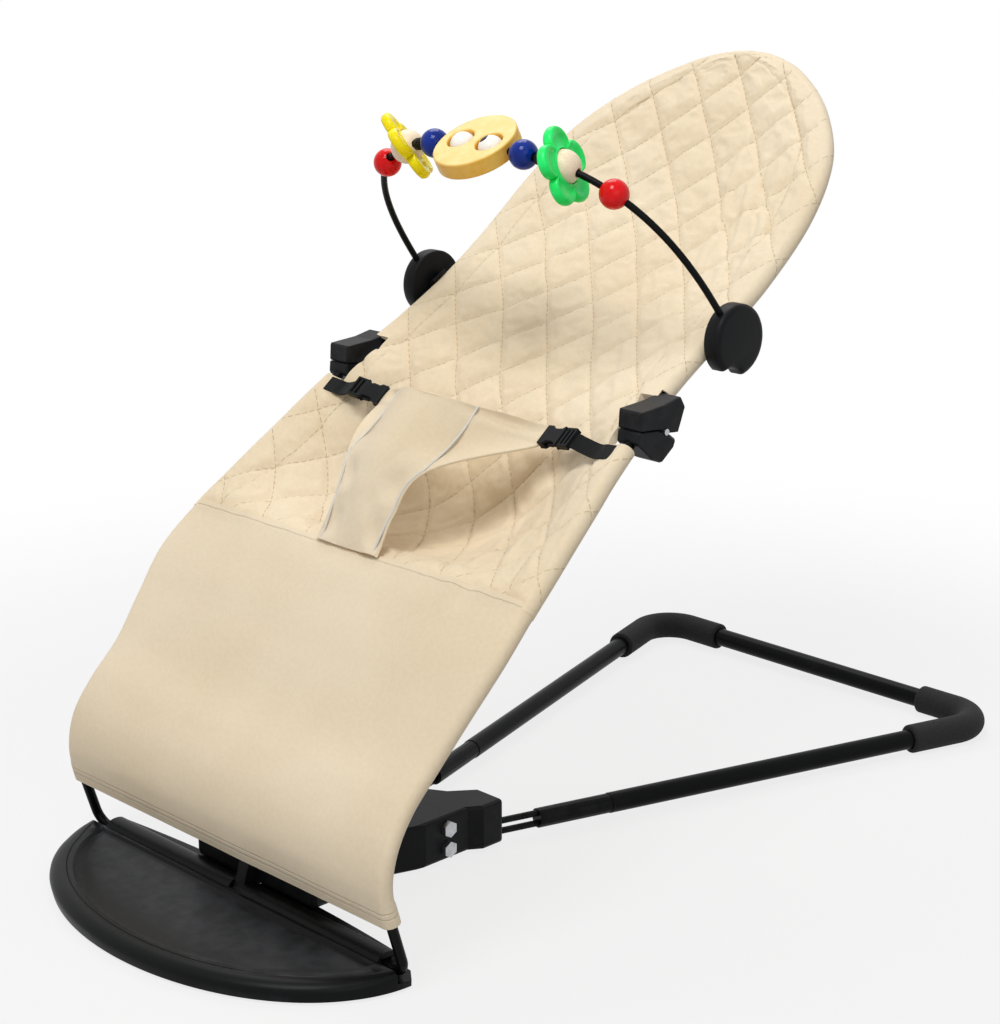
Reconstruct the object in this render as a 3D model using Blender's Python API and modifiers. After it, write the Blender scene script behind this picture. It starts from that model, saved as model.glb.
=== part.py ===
"""Baby bouncer: a fabric sling on a bent spring-wire frame, which reclines on a D-shaped foot plate.

Frame: metres, +Z up, +X to the child's left, +Y from the plate towards the head.
The origin lies on the floor, in the middle of the overall length.
"""
import math

import bmesh
import bpy
from mathutils import Matrix, Vector

COLLECTION = "baby_bouncer"
CUTTERS = "cutters"

# Overall and fits
OVERALL_LENGTH = 0.9250        # plate's front edge to the back of the rear grips
SEATED = 0.0003                # gap between pieces that touch
RUNNING = 0.0005               # gap round a piece that turns
ROUND = 24                     # sides of a turned piece that shows

# Foot plate, measured from the hinge line, which joins the plate's two rear corners
PLATE_HALF_WIDTH = 0.206
PLATE_DEPTH = 0.138
PLATE_BOTTOM = 0.0020
PLATE_TOP = 0.0180
PLATE_EDGE_ROUND = 0.0035
PLATE_REAR_ENDS = 0.0080       # rear edge behind the hinge line at the corners
PLATE_REAR_BOW = 0.0130        # how much further back its middle lies
DISH_MARGIN = 0.020
DISH_DEPTH = 0.0030
PAD_RADIUS = 0.016
PAD_INSET = 0.030

# Cross run of the wire, which is the recline hinge
AXIS_Y = -0.0040
AXIS_Z = 0.0125
WIRE_RADIUS = 0.0044
CHANNEL_HALF_WIDTH = 0.0052
CORNER_NOTCH_WIDTH = 0.0250
CORNER_NOTCH_FRONT = 0.0095
RIDGE_WIDTH = 0.0210
RIDGE_HEIGHT = 0.0050

# Central bracket and hub
BRACKET_HALF_WIDTH = 0.078
BRACKET_FRONT = 0.0085
BRACKET_REAR = 0.0540
BRACKET_TOP = 0.0480
BRACKET_EDGE = 0.0040
RECESS_WIDTH = 0.040
RECESS_LENGTH = 0.022
RECESS_DEPTH = 0.006
RECESS_X = 0.040
SECTOR_HALF_WIDTH = 0.0060
SECTOR_RADIUS = 0.0300
SECTOR_RING = 0.0070
SECTOR_HALF_ANGLE = 20.0
SECTOR_MIDDLE_ANGLE = 62.0     # from +Y towards +Z, with the seat upright
SECTOR_TEETH = 5
TOOTH_DEPTH = 0.0022
HUB_HALF_WIDTH = 0.050
HUB_WAIST_Y = 0.1200
HUB_BOLT_HALF_WIDTH = 0.060
HUB_REAR_HALF_WIDTH = 0.068
HUB_REAR = 0.2360
HUB_BOTTOM = 0.0040
HUB_TOP = 0.0450
HUB_EDGE = 0.0030
FORK_DEPTH = 0.031             # the hub's rear face is hollowed this deep between the legs
FORK_FLAT_DEPTH = 0.021
FORK_FLAT_HALF_WIDTH = 0.018
FORK_ARM_WIDTH = 0.034
BOLT_LAND_START = 0.030        # the land for the bolts, behind the waist and ahead of the rear face
BOLT_LAND_END = 0.036
HUB_ARM_START = 0.024
BOLT_RADIUS = 0.0040
BOLT_HEAD_RADIUS = 0.0075
BOLT_HEAD = 0.0050
BOLT_Y = 0.1750
BOLT_HEIGHTS = (("lower", 0.0150), ("upper", 0.0340))

# Rear legs and tube
GRIP_RADIUS = 0.0140
LEG_SLOPE = 0.312              # sideways run of a leg for each metre back
LEG_HUB_X = 0.0553             # where a leg's line leaves the hub's rear face
CROSS_TUBE_Y = OVERALL_LENGTH - PLATE_DEPTH - GRIP_RADIUS
TUBE_RADIUS = 0.0095
TUBE_BEND = 0.034
TUBE_START_Y = 0.3490
SPIGOT_RADIUS = 0.0075
SPIGOT_LENGTH = 0.030
ROD_RADIUS = 0.0030
ROD_SPACING = 0.0098
ROD_START_Y = 0.2000
ROD_END_Y = 0.3000
SLEEVE_RADIUS = 0.0090
SLEEVE_START_Y = 0.2780
GRIP_LEG_LENGTH = 0.105        # from the vertex back along the leg
GRIP_CROSS_LENGTH = 0.088      # from the vertex along the cross stretch

# Seat wire's bends on the child's left: half width, y behind the hinge line, height, sag of the fabric
SEAT_STATIONS = (
    (0.2035, -0.0185, 0.0600, 0.000),
    (0.2025, -0.0250, 0.0900, 0.000),
    (0.2020, -0.0190, 0.1200, 0.002),
    (0.2000, 0.0000, 0.1480, 0.004),
    (0.2000, 0.0280, 0.1760, 0.005),
    (0.2050, 0.0570, 0.2110, 0.004),
    (0.2100, 0.0880, 0.2470, 0.002),
    (0.2060, 0.1250, 0.2790, 0.000),
    (0.2020, 0.1500, 0.2975, 0.030),
    (0.1970, 0.1800, 0.3200, 0.056),
    (0.1915, 0.2110, 0.3425, 0.066),
    (0.1865, 0.2400, 0.3640, 0.056),
    (0.1795, 0.2850, 0.3940, 0.032),
    (0.1700, 0.3300, 0.4190, 0.024),
    (0.1667, 0.3910, 0.4540, 0.020),
    (0.1675, 0.4500, 0.4930, 0.020),
    (0.1647, 0.5090, 0.5410, 0.020),
    (0.1490, 0.5560, 0.5850, 0.017),
    (0.1130, 0.5930, 0.6200, 0.011),
    (0.0700, 0.6190, 0.6440, 0.006),
    (0.0350, 0.6305, 0.6560, 0.002),
    (0.0000, 0.6345, 0.6600, 0.000),
)
WIRE_INSET = 0.0025            # from the plate's corner to the wire's centre
CREST_STATION = 7
JOINT_STATION = 12
CLAMP_STATION = 14
ARCH_STATION = 16
HEAD_STATION = len(SEAT_STATIONS) - 1
BOUNCE_GAP = 0.0008            # between the yoke's wire and the seat's, at the bounce axis

# Fabric
HEM_START = 0.0025             # how far above the bounce axis the leg cover's hem lies
LEG_FABRIC = 0.0030
QUILT_FABRIC = 0.0040
FABRIC_CLEARANCE = 0.0009      # between wire and fabric tunnel
TUNNEL_WRAP = 150.0            # degrees that the tunnel goes round the wire from the front
TUNNEL_STEPS = 4
SEAM_GAP = 0.0004              # from the crest to the leg cover's upper edge
QUILT_SEAM_GAP = 0.0020        # from the crest to the quilt's lower edge, which dips away steeply
LEG_ROWS = 15
LEG_COLUMNS = 6
QUILT_DIAMOND_WIDTH = 0.057
QUILT_DIAMOND_LENGTH = 0.069
QUILT_COLUMNS = 12
QUILT_PUFF = 0.0050

# Side connectors: (y, z) outlines in their plane, and where they sit across the seat
CONNECTOR_INSIDE = 0.0105      # how far its inner face lies inside the wire's centre
CONNECTOR_THICKNESS = 0.0250
CONNECTOR_LOWER = ((0.2660, 0.3850), (0.2670, 0.3955), (0.2900, 0.3935), (0.3040, 0.3885),
                   (0.3130, 0.3820), (0.3110, 0.3770), (0.2950, 0.3650), (0.2830, 0.3700))
CONNECTOR_UPPER = ((0.2670, 0.3960), (0.2680, 0.4120), (0.2980, 0.4140), (0.3180, 0.4180),
                   (0.3240, 0.4080), (0.3160, 0.3880), (0.3040, 0.3890), (0.2900, 0.3940))
CONNECTOR_PIN_Y = 0.2990
CONNECTOR_PIN_Z = 0.3910
PIN_RADIUS = 0.0028
PIN_PROUD = 0.0015
CONNECTOR_EDGE = 0.0015
CUT_OUT_MARGIN = 0.0030
CUT_OUT = ((-0.0275, -0.0400), (0.0450, -0.0400), (0.0450, 0.0350), (-0.0275, 0.0350))
LOWER_WIRE_END = 0.12          # in stations, before the connector's middle
UPPER_WIRE_START = 0.14

# Harness flap: centre line (y, z) above the crest, with the flap's half width there
FLAP_RISE = ((0.1310, 0.3250, 0.0370), (0.1500, 0.3600, 0.0480), (0.1844, 0.3976, 0.1000),
             (0.2000, 0.4100, 0.1000))
FLAP_FOOT_HALF_WIDTH = 0.0330
FLAP_SLOPE = 38.5              # slope of the belly that the wings lie over
FLAP_ROWS = 12
FLAP_COLUMNS = 12
FLAP_WING_DROP = 0.0575
FLAP_WING_RISE = 0.0313
FLAP_THICKNESS = 0.0040
WEBBING_WIDTH = 0.0150
WEBBING_THICKNESS = 0.0016
BUCKLE_WIDTH = 0.0200
BUCKLE_THICKNESS = 0.0080
SOCKET_LENGTH = 0.0240
PLUG_LENGTH = 0.0130
PLUG_PRONG_LENGTH = 0.0140
PLUG_TRAVEL = 0.0140
BUCKLE_TILT = 10.0
STRAP_INSET = 0.0150           # from the side wire's centre to the strap's end

# Toy bar: an arch in a plane through both clamps
KNOB_RADIUS = 0.0310
KNOB_THICKNESS = 0.0160
KNOB_EDGE = 0.0020
NOTCH_RADIUS = 0.0200
NOTCH_OFFSET = 0.0130          # of the notch's centre beyond the knob's rim
NOTCH_ANGLE = -104.5           # from +Y towards +Z
JAW_LENGTH = 0.0180
JAW_WALL = 0.0028
JAW_MOUTH = ((-0.0300, -0.0060), (0.0030, 0.0300))
PIVOT_RADIUS = 0.0050
PIVOT_LENGTH = 0.0090
BAR_RADIUS = 0.0030
BAR_HEIGHT = 0.1960
BAR_POWER = 2.8
BAR_LEAN = 127.5               # degrees from +Y towards +Z
BAR_POINTS = 40
BAR_START = 0.0175             # how far the bar's ends lie from the clamps' centres
BAR_BORE_START = 0.0170
BEAD_RADIUS = 0.01275
BEAD_BORE = 0.0042
RED_BEAD_X = 0.138
BLUE_BEAD_X = 0.054
SPACER_X = 0.0735
SPACER_LENGTH = 0.0100
SPACER_RADIUS = 0.0055
FLOWER_X = 0.095
FLOWER_BALL_RADIUS = 0.0150
FLOWER_RADIUS = 0.0350
FLOWER_PETALS = 5
FLOWER_THICKNESS = 0.0090
FACE_RADIUS = 0.0380
FACE_THICKNESS = 0.0150
FACE_LEAN = 29.0
EYE_X = 0.0170
EYE_HOLE_RADIUS = 0.0125
EYE_RADIUS = 0.0115

HINGE_Y = PLATE_DEPTH - OVERALL_LENGTH / 2
CHANNEL_FLOOR = AXIS_Z - WIRE_RADIUS - SEATED
SEAT_WIDENING = (PLATE_HALF_WIDTH - WIRE_INSET) / SEAT_STATIONS[0][0]
SEAT_COURSE = tuple((w * SEAT_WIDENING, y, z, sag) for w, y, z, sag in SEAT_STATIONS)
SEAT_COURSE = (*SEAT_COURSE, (-SEAT_COURSE[-2][0], *SEAT_COURSE[-2][1:]))
CONNECTOR_INNER_X = SEAT_COURSE[JOINT_STATION][0] - CONNECTOR_INSIDE
CONNECTOR_OUTER_X = CONNECTOR_INNER_X + CONNECTOR_THICKNESS


def point(x, y, z):
    """A point whose y is measured back from the hinge line."""
    return Vector((x, HINGE_Y + y, z))


# Scene and objects

def clear_scene():
    for thing in list(bpy.data.objects):
        bpy.data.objects.remove(thing, do_unlink=True)


def new_collection(name):
    collection = bpy.data.collections.new(name)
    bpy.context.scene.collection.children.link(collection)
    return collection


def new_material(name, colour, roughness, metallic=0.0):
    material = bpy.data.materials.new(name)
    material.use_nodes = True
    shader = material.node_tree.nodes["Principled BSDF"]
    shader.inputs["Base Color"].default_value = (*colour, 1.0)
    shader.inputs["Roughness"].default_value = roughness
    shader.inputs["Metallic"].default_value = metallic
    material.diffuse_color = (*colour, 1.0)
    return material


def add_object(name, data, material=None, matrix=None):
    thing = bpy.data.objects.new(name, data)
    parts.objects.link(thing)
    if material:
        data.materials.append(material)
    if matrix is not None:
        thing.matrix_world = matrix
    return thing


def as_cutter(thing):
    parts.objects.unlink(thing)
    cutters.objects.link(thing)
    thing.hide_render = True
    thing.display_type = "WIRE"
    return thing


def attach(empty, *things):
    """Parents pieces to an empty and leaves them where they are."""
    for thing in things:
        thing.parent = empty
        thing.matrix_parent_inverse = empty.matrix_world.inverted()


def joint_empty(name, place):
    empty = add_object(name, None)
    empty.location = place
    empty.empty_display_size = 0.03
    bpy.context.view_layer.update()
    return empty


def combine(thing, other, operation):
    modifier = thing.modifiers.new(operation.lower(), "BOOLEAN")
    modifier.operation = operation
    modifier.object = as_cutter(other)
    return thing


def cut(thing, *others):
    for other in others:
        combine(thing, other, "DIFFERENCE")
    return thing


def join(thing, *others):
    for other in others:
        combine(thing, other, "UNION")
    return thing


def smooth(thing, angle=35.0):
    thing.data.shade_smooth()
    thing.data.set_sharp_from_angle(angle=math.radians(angle))
    return thing


def bevel(thing, width, segments=2, angle=40.0):
    modifier = thing.modifiers.new("edge_round", "BEVEL")
    modifier.width = width
    modifier.segments = segments
    modifier.limit_method = "ANGLE"
    modifier.angle_limit = math.radians(angle)
    return thing


# Directions and frames

def axes_to(place, along, up=Vector((0, 0, 1))):
    """Matrix whose local Z runs along a direction and whose local Y leans towards up."""
    z_axis = Vector(along).normalized()
    x_axis = Vector(up).cross(z_axis).normalized()
    y_axis = z_axis.cross(x_axis)
    rotation = Matrix((x_axis, y_axis, z_axis)).transposed().to_4x4()
    return Matrix.Translation(place) @ rotation


# Solids

def box(name, low, high, material=None):
    mesh = bpy.data.meshes.new(name)
    form = bmesh.new()
    bmesh.ops.create_cube(form, size=1.0)
    low = Vector(low)
    high = Vector(high)
    size = Matrix.Diagonal((*(high - low), 1.0))
    bmesh.ops.transform(form, matrix=Matrix.Translation((low + high) / 2) @ size, verts=form.verts)
    form.to_mesh(mesh)
    form.free()
    return add_object(name, mesh, material)


def rod(name, start, end, radius, material=None, sides=16):
    """A straight round bar between two points."""
    start = Vector(start)
    end = Vector(end)
    mesh = bpy.data.meshes.new(name)
    form = bmesh.new()
    bmesh.ops.create_cone(form, cap_ends=True, segments=sides, radius1=radius, radius2=radius,
                          depth=(end - start).length)
    form.to_mesh(mesh)
    form.free()
    up = Vector((0, 0, 1)) if abs((end - start).normalized().z) < 0.9 else Vector((0, 1, 0))
    return smooth(add_object(name, mesh, material, axes_to((start + end) / 2, end - start, up)))


def tube_mesh(name, points, radius, resolution=2):
    """A bent bar along points, as a closed mesh."""
    curve = bpy.data.curves.new(name, "CURVE")
    curve.dimensions = "3D"
    curve.bevel_depth = radius
    curve.bevel_resolution = resolution
    curve.use_fill_caps = True
    spline = curve.splines.new("POLY")
    spline.points.add(len(points) - 1)
    for target, place in zip(spline.points, points):
        target.co = (*place, 1.0)
    guide = bpy.data.objects.new(name, curve)
    bpy.context.scene.collection.objects.link(guide)
    bpy.context.view_layer.update()
    evaluated = guide.evaluated_get(bpy.context.evaluated_depsgraph_get())
    mesh = bpy.data.meshes.new_from_object(evaluated)
    bpy.data.objects.remove(guide, do_unlink=True)
    form = bmesh.new()
    form.from_mesh(mesh)
    bmesh.ops.remove_doubles(form, verts=form.verts, dist=0.00002)
    bmesh.ops.recalc_face_normals(form, faces=form.faces)
    form.to_mesh(mesh)
    form.free()
    return mesh


def bore_radius(radius, sides):
    """Radius of a faceted bore whose flats clear a round piece of this radius."""
    return (radius + SEATED) / math.cos(math.pi / sides)


def tube(name, points, radius, material=None, resolution=2):
    return smooth(add_object(name, tube_mesh(name, points, radius, resolution), material), 50.0)


def plate_from_outline(name, loops, half_thickness, material=None, matrix=None):
    """A flat piece from closed outlines in its local XY plane; inner loops are holes."""
    curve = bpy.data.curves.new(name, "CURVE")
    curve.dimensions = "2D"
    curve.fill_mode = "BOTH"
    curve.extrude = half_thickness
    for loop in loops:
        spline = curve.splines.new("POLY")
        spline.points.add(len(loop) - 1)
        for target, (x, y) in zip(spline.points, loop):
            target.co = (x, y, 0.0, 1.0)
        spline.use_cyclic_u = True
    guide = bpy.data.objects.new(name, curve)
    bpy.context.scene.collection.objects.link(guide)
    bpy.context.view_layer.update()
    evaluated = guide.evaluated_get(bpy.context.evaluated_depsgraph_get())
    mesh = bpy.data.meshes.new_from_object(evaluated)
    bpy.data.objects.remove(guide, do_unlink=True)
    form = bmesh.new()
    form.from_mesh(mesh)
    bmesh.ops.remove_doubles(form, verts=form.verts, dist=0.00002)
    bmesh.ops.recalc_face_normals(form, faces=form.faces)
    form.to_mesh(mesh)
    form.free()
    return add_object(name, mesh, material, matrix)


def side_plate(name, outline, low_x, high_x, material=None):
    """A flat piece across the seat from an outline of (y, z) places, between two x values."""
    middle = (low_x + high_x) / 2
    matrix = Matrix(((0, 0, 1, middle), (1, 0, 0, HINGE_Y), (0, 1, 0, 0), (0, 0, 0, 1)))
    return plate_from_outline(name, [outline], (high_x - low_x) / 2, material, matrix)


def turned(name, profile, material=None, matrix=None, sides=ROUND):
    """A ring from a closed profile of (radius, height) places that runs down its outer side."""
    mesh = bpy.data.meshes.new(name)
    count = len(profile)
    edges = [(index, (index + 1) % count) for index in range(count)]
    mesh.from_pydata([(radius, 0.0, height) for radius, height in profile], edges, [])
    thing = add_object(name, mesh, material, matrix)
    screw = thing.modifiers.new("turn", "SCREW")
    screw.axis = "Z"
    screw.angle = math.tau
    screw.steps = sides
    screw.render_steps = sides
    screw.use_merge_vertices = True
    screw.merge_threshold = 0.00002
    screw.use_smooth_shade = True
    return thing


def bead(name, radius, bore, material, matrix, sides=14, arcs=6):
    """A ball with a hole along its local Z."""
    limit = math.asin(bore / radius)
    profile = []
    for step in range(arcs + 1):
        angle = limit + (math.pi - 2 * limit) * step / arcs
        profile.append((radius * math.sin(angle), radius * math.cos(angle)))
    return turned(name, profile, material, matrix, sides)


def rounded_path(corners, radius, steps=6):
    """Straight runs between corners, with an arc of one radius at each inner corner."""
    path = [Vector(corners[0])]
    for before, corner, after in zip(corners, corners[1:], corners[2:]):
        before = Vector(before)
        corner = Vector(corner)
        after = Vector(after)
        back = (before - corner).normalized()
        ahead = (after - corner).normalized()
        half = back.angle(ahead) / 2
        reach = radius / math.tan(half)
        centre = corner + (back + ahead).normalized() * (radius / math.sin(half))
        first = (corner + back * reach - centre).normalized()
        last = (corner + ahead * reach - centre).normalized()
        path.extend(centre + first.slerp(last, step / steps) * radius for step in range(steps + 1))
    path.append(Vector(corners[-1]))
    return path


# The seat wire's course, shared by the wire and the fabric

def spline_place(stations, place):
    """Catmull-Rom value between stations, at a place counted in stations."""
    last = len(stations) - 1
    index = min(int(place), last - 1)
    share = place - index
    a, b, c, d = [Vector(stations[min(max(index + step, 0), last)]) for step in (-1, 0, 1, 2)]
    return 0.5 * (2 * b + (c - a) * share + (2 * a - 5 * b + 4 * c - d) * share ** 2
                  + (3 * b - a - 3 * c + d) * share ** 3)


def seat_frame(place):
    """Wire centre, front normal, outward direction and fabric sag at a place on the left side."""
    w, y, z, sag = spline_place(SEAT_COURSE, place)
    before = spline_place(SEAT_COURSE, max(place - 0.02, 0))
    after = spline_place(SEAT_COURSE, place + 0.02)
    tangent = (after - before).xyz
    slope = math.atan2(tangent.z, tangent.y)
    if place > ARCH_STATION:
        start = SEAT_STATIONS[ARCH_STATION]
        end = SEAT_STATIONS[-1]
        slope = math.atan2(end[2] - start[2], end[1] - start[1])
    normal = Vector((0.0, -math.sin(slope), math.cos(slope)))
    outward = tangent.cross(normal).normalized()
    return point(w, y, z), normal, outward, sag


def place_at_length(length, start=0.0):
    """The place, counted in stations, that lies a length along the wire from a start."""
    place = start
    here = seat_frame(place)[0]
    step = 0.02
    travelled = 0.0
    while travelled < length and place < HEAD_STATION:
        place = min(place + step, HEAD_STATION)
        there = seat_frame(place)[0]
        travelled += (there - here).length
        here = there
    return place


def length_between(first, last):
    total = 0.0
    here = seat_frame(first)[0]
    count = max(2, int((last - first) * 50))
    for step in range(1, count + 1):
        there = seat_frame(first + (last - first) * step / count)[0]
        total += (there - here).length
        here = there
    return total


def rows_between(first, last, count):
    """Places evenly spaced along the wire's length."""
    total = length_between(first, last)
    return [place_at_length(total * row / count, first) if row < count else last
            for row in range(count + 1)]


def wire_points(places, side):
    points = []
    for place in places:
        centre = seat_frame(place)[0]
        points.append(Vector((side * centre.x, centre.y, centre.z)))
    return points


# Base: foot plate, hub, legs and rear tube

def half_ellipse(half_width, depth, start_depth=0.0, steps=32):
    """The plate's front curve, from one side to the other, beyond a depth in front of the hinge line."""
    first = math.asin(start_depth / depth)
    curve = []
    for step in range(steps + 1):
        angle = first + (math.pi - 2 * first) * step / steps
        curve.append((-half_width * math.cos(angle), HINGE_Y - depth * math.sin(angle)))
    return curve


def plate_outline():
    """Half ellipse in front, bowed edge at the rear."""
    outline = half_ellipse(PLATE_HALF_WIDTH, PLATE_DEPTH)
    for step in range(13):
        x = PLATE_HALF_WIDTH * (1 - step / 6)
        rear = PLATE_REAR_ENDS + PLATE_REAR_BOW * (1 - (x / PLATE_HALF_WIDTH) ** 2)
        outline.append((x, HINGE_Y + rear))
    return outline


def build_plate():
    middle = (PLATE_TOP + PLATE_BOTTOM) / 2
    plate = plate_from_outline("foot_plate", [plate_outline()], (PLATE_TOP - PLATE_BOTTOM) / 2,
                               black_plastic, Matrix.Translation((0, 0, middle)))
    bevel(plate, PLATE_EDGE_ROUND)
    dish = half_ellipse(PLATE_HALF_WIDTH - DISH_MARGIN, PLATE_DEPTH - DISH_MARGIN,
                        RIDGE_WIDTH / 2 - AXIS_Y + 0.002)
    cut(plate, plate_from_outline("dish_cutter", [dish], DISH_DEPTH, None,
                                  Matrix.Translation((0, 0, PLATE_TOP))))
    channel_front = HINGE_Y + AXIS_Y - CHANNEL_HALF_WIDTH
    channel_rear = HINGE_Y + AXIS_Y + CHANNEL_HALF_WIDTH
    cut(plate, box("channel_cutter", (-PLATE_HALF_WIDTH - 0.01, channel_front, CHANNEL_FLOOR),
                   (PLATE_HALF_WIDTH + 0.01, channel_rear, PLATE_TOP + 0.01)))
    for name, side in (("left", 1), ("right", -1)):
        edges = sorted((side * (PLATE_HALF_WIDTH - CORNER_NOTCH_WIDTH), side * (PLATE_HALF_WIDTH + 0.01)))
        cut(plate, box(f"corner_cutter_{name}",
                       (edges[0], HINGE_Y + AXIS_Y - CORNER_NOTCH_FRONT, CHANNEL_FLOOR),
                       (edges[1], HINGE_Y + PLATE_REAR_ENDS + PLATE_REAR_BOW, PLATE_TOP + 0.01)))
    cut(plate, slot_cutter("plate_slot"))
    pads = []
    for name, x, y in (("left", PLATE_HALF_WIDTH - 2 * PAD_INSET, -PAD_INSET),
                       ("right", 2 * PAD_INSET - PLATE_HALF_WIDTH, -PAD_INSET),
                       ("front", 0.0, PAD_INSET - PLATE_DEPTH)):
        pads.append(rod(f"plate_pad_{name}", point(x, y, 0.0), point(x, y, PLATE_BOTTOM - SEATED),
                        PAD_RADIUS, rubber, ROUND))
    return [plate, *pads]


def build_ridge_covers():
    """Rounded strips that hold the cross run down in the plate's channel."""
    covers = []
    half = RIDGE_WIDTH / 2
    section = [(-half, 0.0), (half, 0.0)]
    for step in range(7):
        angle = math.pi * step / 6
        section.append((half * math.cos(angle), RIDGE_HEIGHT * (0.35 + 0.65 * math.sin(angle))))
    for name, side in (("left", 1), ("right", -1)):
        inner = SECTOR_HALF_WIDTH + 2 * RUNNING
        outer = PLATE_HALF_WIDTH - CORNER_NOTCH_WIDTH
        low, high = sorted((side * inner, side * outer))
        matrix = Matrix(((0, 0, 1, (low + high) / 2), (1, 0, 0, HINGE_Y + AXIS_Y),
                         (0, 1, 0, PLATE_TOP + SEATED), (0, 0, 0, 1)))
        cover = plate_from_outline(f"ridge_cover_{name}", [section], (high - low) / 2,
                                   black_plastic, matrix)
        covers.append(smooth(cover))
    return covers


def slot_cutter(name):
    """Room for the recline sector, from under its ring to past its teeth."""
    half = SECTOR_HALF_WIDTH + RUNNING
    return box(name, point(-half, AXIS_Y - SECTOR_RING - 2 * RUNNING, AXIS_Z - SECTOR_RING - RUNNING),
               point(half, AXIS_Y + SECTOR_RADIUS + 2 * RUNNING, AXIS_Z + SECTOR_RADIUS + 2 * RUNNING))


def build_bracket():
    bracket = box("centre_bracket", point(-BRACKET_HALF_WIDTH, BRACKET_FRONT, PLATE_TOP + SEATED),
                  point(BRACKET_HALF_WIDTH, BRACKET_REAR, BRACKET_TOP), black_plastic)
    bevel(bracket, BRACKET_EDGE)
    middle = (BRACKET_FRONT + BRACKET_REAR) / 2
    for name, side in (("left", 1), ("right", -1)):
        low = point(side * RECESS_X - RECESS_WIDTH / 2, middle - RECESS_LENGTH / 2, BRACKET_TOP - RECESS_DEPTH)
        high = point(side * RECESS_X + RECESS_WIDTH / 2, middle + RECESS_LENGTH / 2, BRACKET_TOP + 0.01)
        cut(bracket, box(f"recess_cutter_{name}", low, high))
    return cut(bracket, slot_cutter("bracket_slot"))


def leg_point(side, y, z):
    """Where a leg's centre line is, at a distance behind the hinge line."""
    return point(side * (LEG_HUB_X + LEG_SLOPE * (y - HUB_REAR)), y, z)


def rod_heights():
    middle = GRIP_RADIUS
    return (("lower", middle - ROD_SPACING / 2), ("upper", middle + ROD_SPACING / 2))


def build_hub():
    front = max(PLATE_REAR_ENDS + PLATE_REAR_BOW, AXIS_Y + SECTOR_RADIUS + 2 * RUNNING) + SEATED
    middle = (HUB_BOTTOM + HUB_TOP) / 2
    shells = []
    for name, side in (("left", 1), ("right", -1)):
        outline = [(SEATED / 2, front), (HUB_HALF_WIDTH, front), (HUB_HALF_WIDTH, HUB_WAIST_Y),
                   (HUB_BOLT_HALF_WIDTH, HUB_WAIST_Y + BOLT_LAND_START),
                   (HUB_BOLT_HALF_WIDTH, HUB_REAR - BOLT_LAND_END),
                   (HUB_REAR_HALF_WIDTH, HUB_REAR - HUB_ARM_START), (HUB_REAR_HALF_WIDTH, HUB_REAR),
                   (HUB_REAR_HALF_WIDTH - FORK_ARM_WIDTH, HUB_REAR),
                   (FORK_FLAT_HALF_WIDTH, HUB_REAR - FORK_FLAT_DEPTH), (SEATED / 2, HUB_REAR - FORK_DEPTH)]
        outline = [(side * x, HINGE_Y + y) for x, y in outline]
        shell = plate_from_outline(f"hub_shell_{name}", [outline], (HUB_TOP - HUB_BOTTOM) / 2,
                                   black_plastic, Matrix.Translation((0, 0, middle)))
        bevel(shell, HUB_EDGE)
        cut(shell, box(f"hub_step_{name}", point(-0.1, front - 0.01, PLATE_TOP),
                       point(0.1, BRACKET_REAR + SEATED, HUB_TOP + 0.01)))
        for level, height in BOLT_HEIGHTS:
            cut(shell, rod(f"bolt_bore_{level}_{name}", point(-0.1, BOLT_Y, height),
                           point(0.1, BOLT_Y, height), BOLT_RADIUS + SEATED))
        for level, height in rod_heights():
            cut(shell, rod(f"rod_bore_{level}_{name}", leg_point(side, ROD_START_Y - SEATED, height),
                           leg_point(side, HUB_REAR + 0.02, height), ROD_RADIUS + SEATED, None, 12))
        shells.append(shell)
    for level, height in BOLT_HEIGHTS:
        seat = HUB_BOLT_HALF_WIDTH + SEATED
        bolt = rod(f"hub_bolt_{level}", point(-seat - BOLT_HEAD - 0.002, BOLT_Y, height),
                   point(seat + BOLT_HEAD / 2, BOLT_Y, height), BOLT_RADIUS, bright_steel)
        join(bolt, rod(f"bolt_head_{level}", point(seat, BOLT_Y, height),
                       point(seat + BOLT_HEAD, BOLT_Y, height), BOLT_HEAD_RADIUS, None, 6),
             rod(f"bolt_nut_{level}", point(-seat - BOLT_HEAD, BOLT_Y, height),
                 point(-seat, BOLT_Y, height), BOLT_HEAD_RADIUS, None, 6))
        shells.append(bolt)
    return shells


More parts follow.
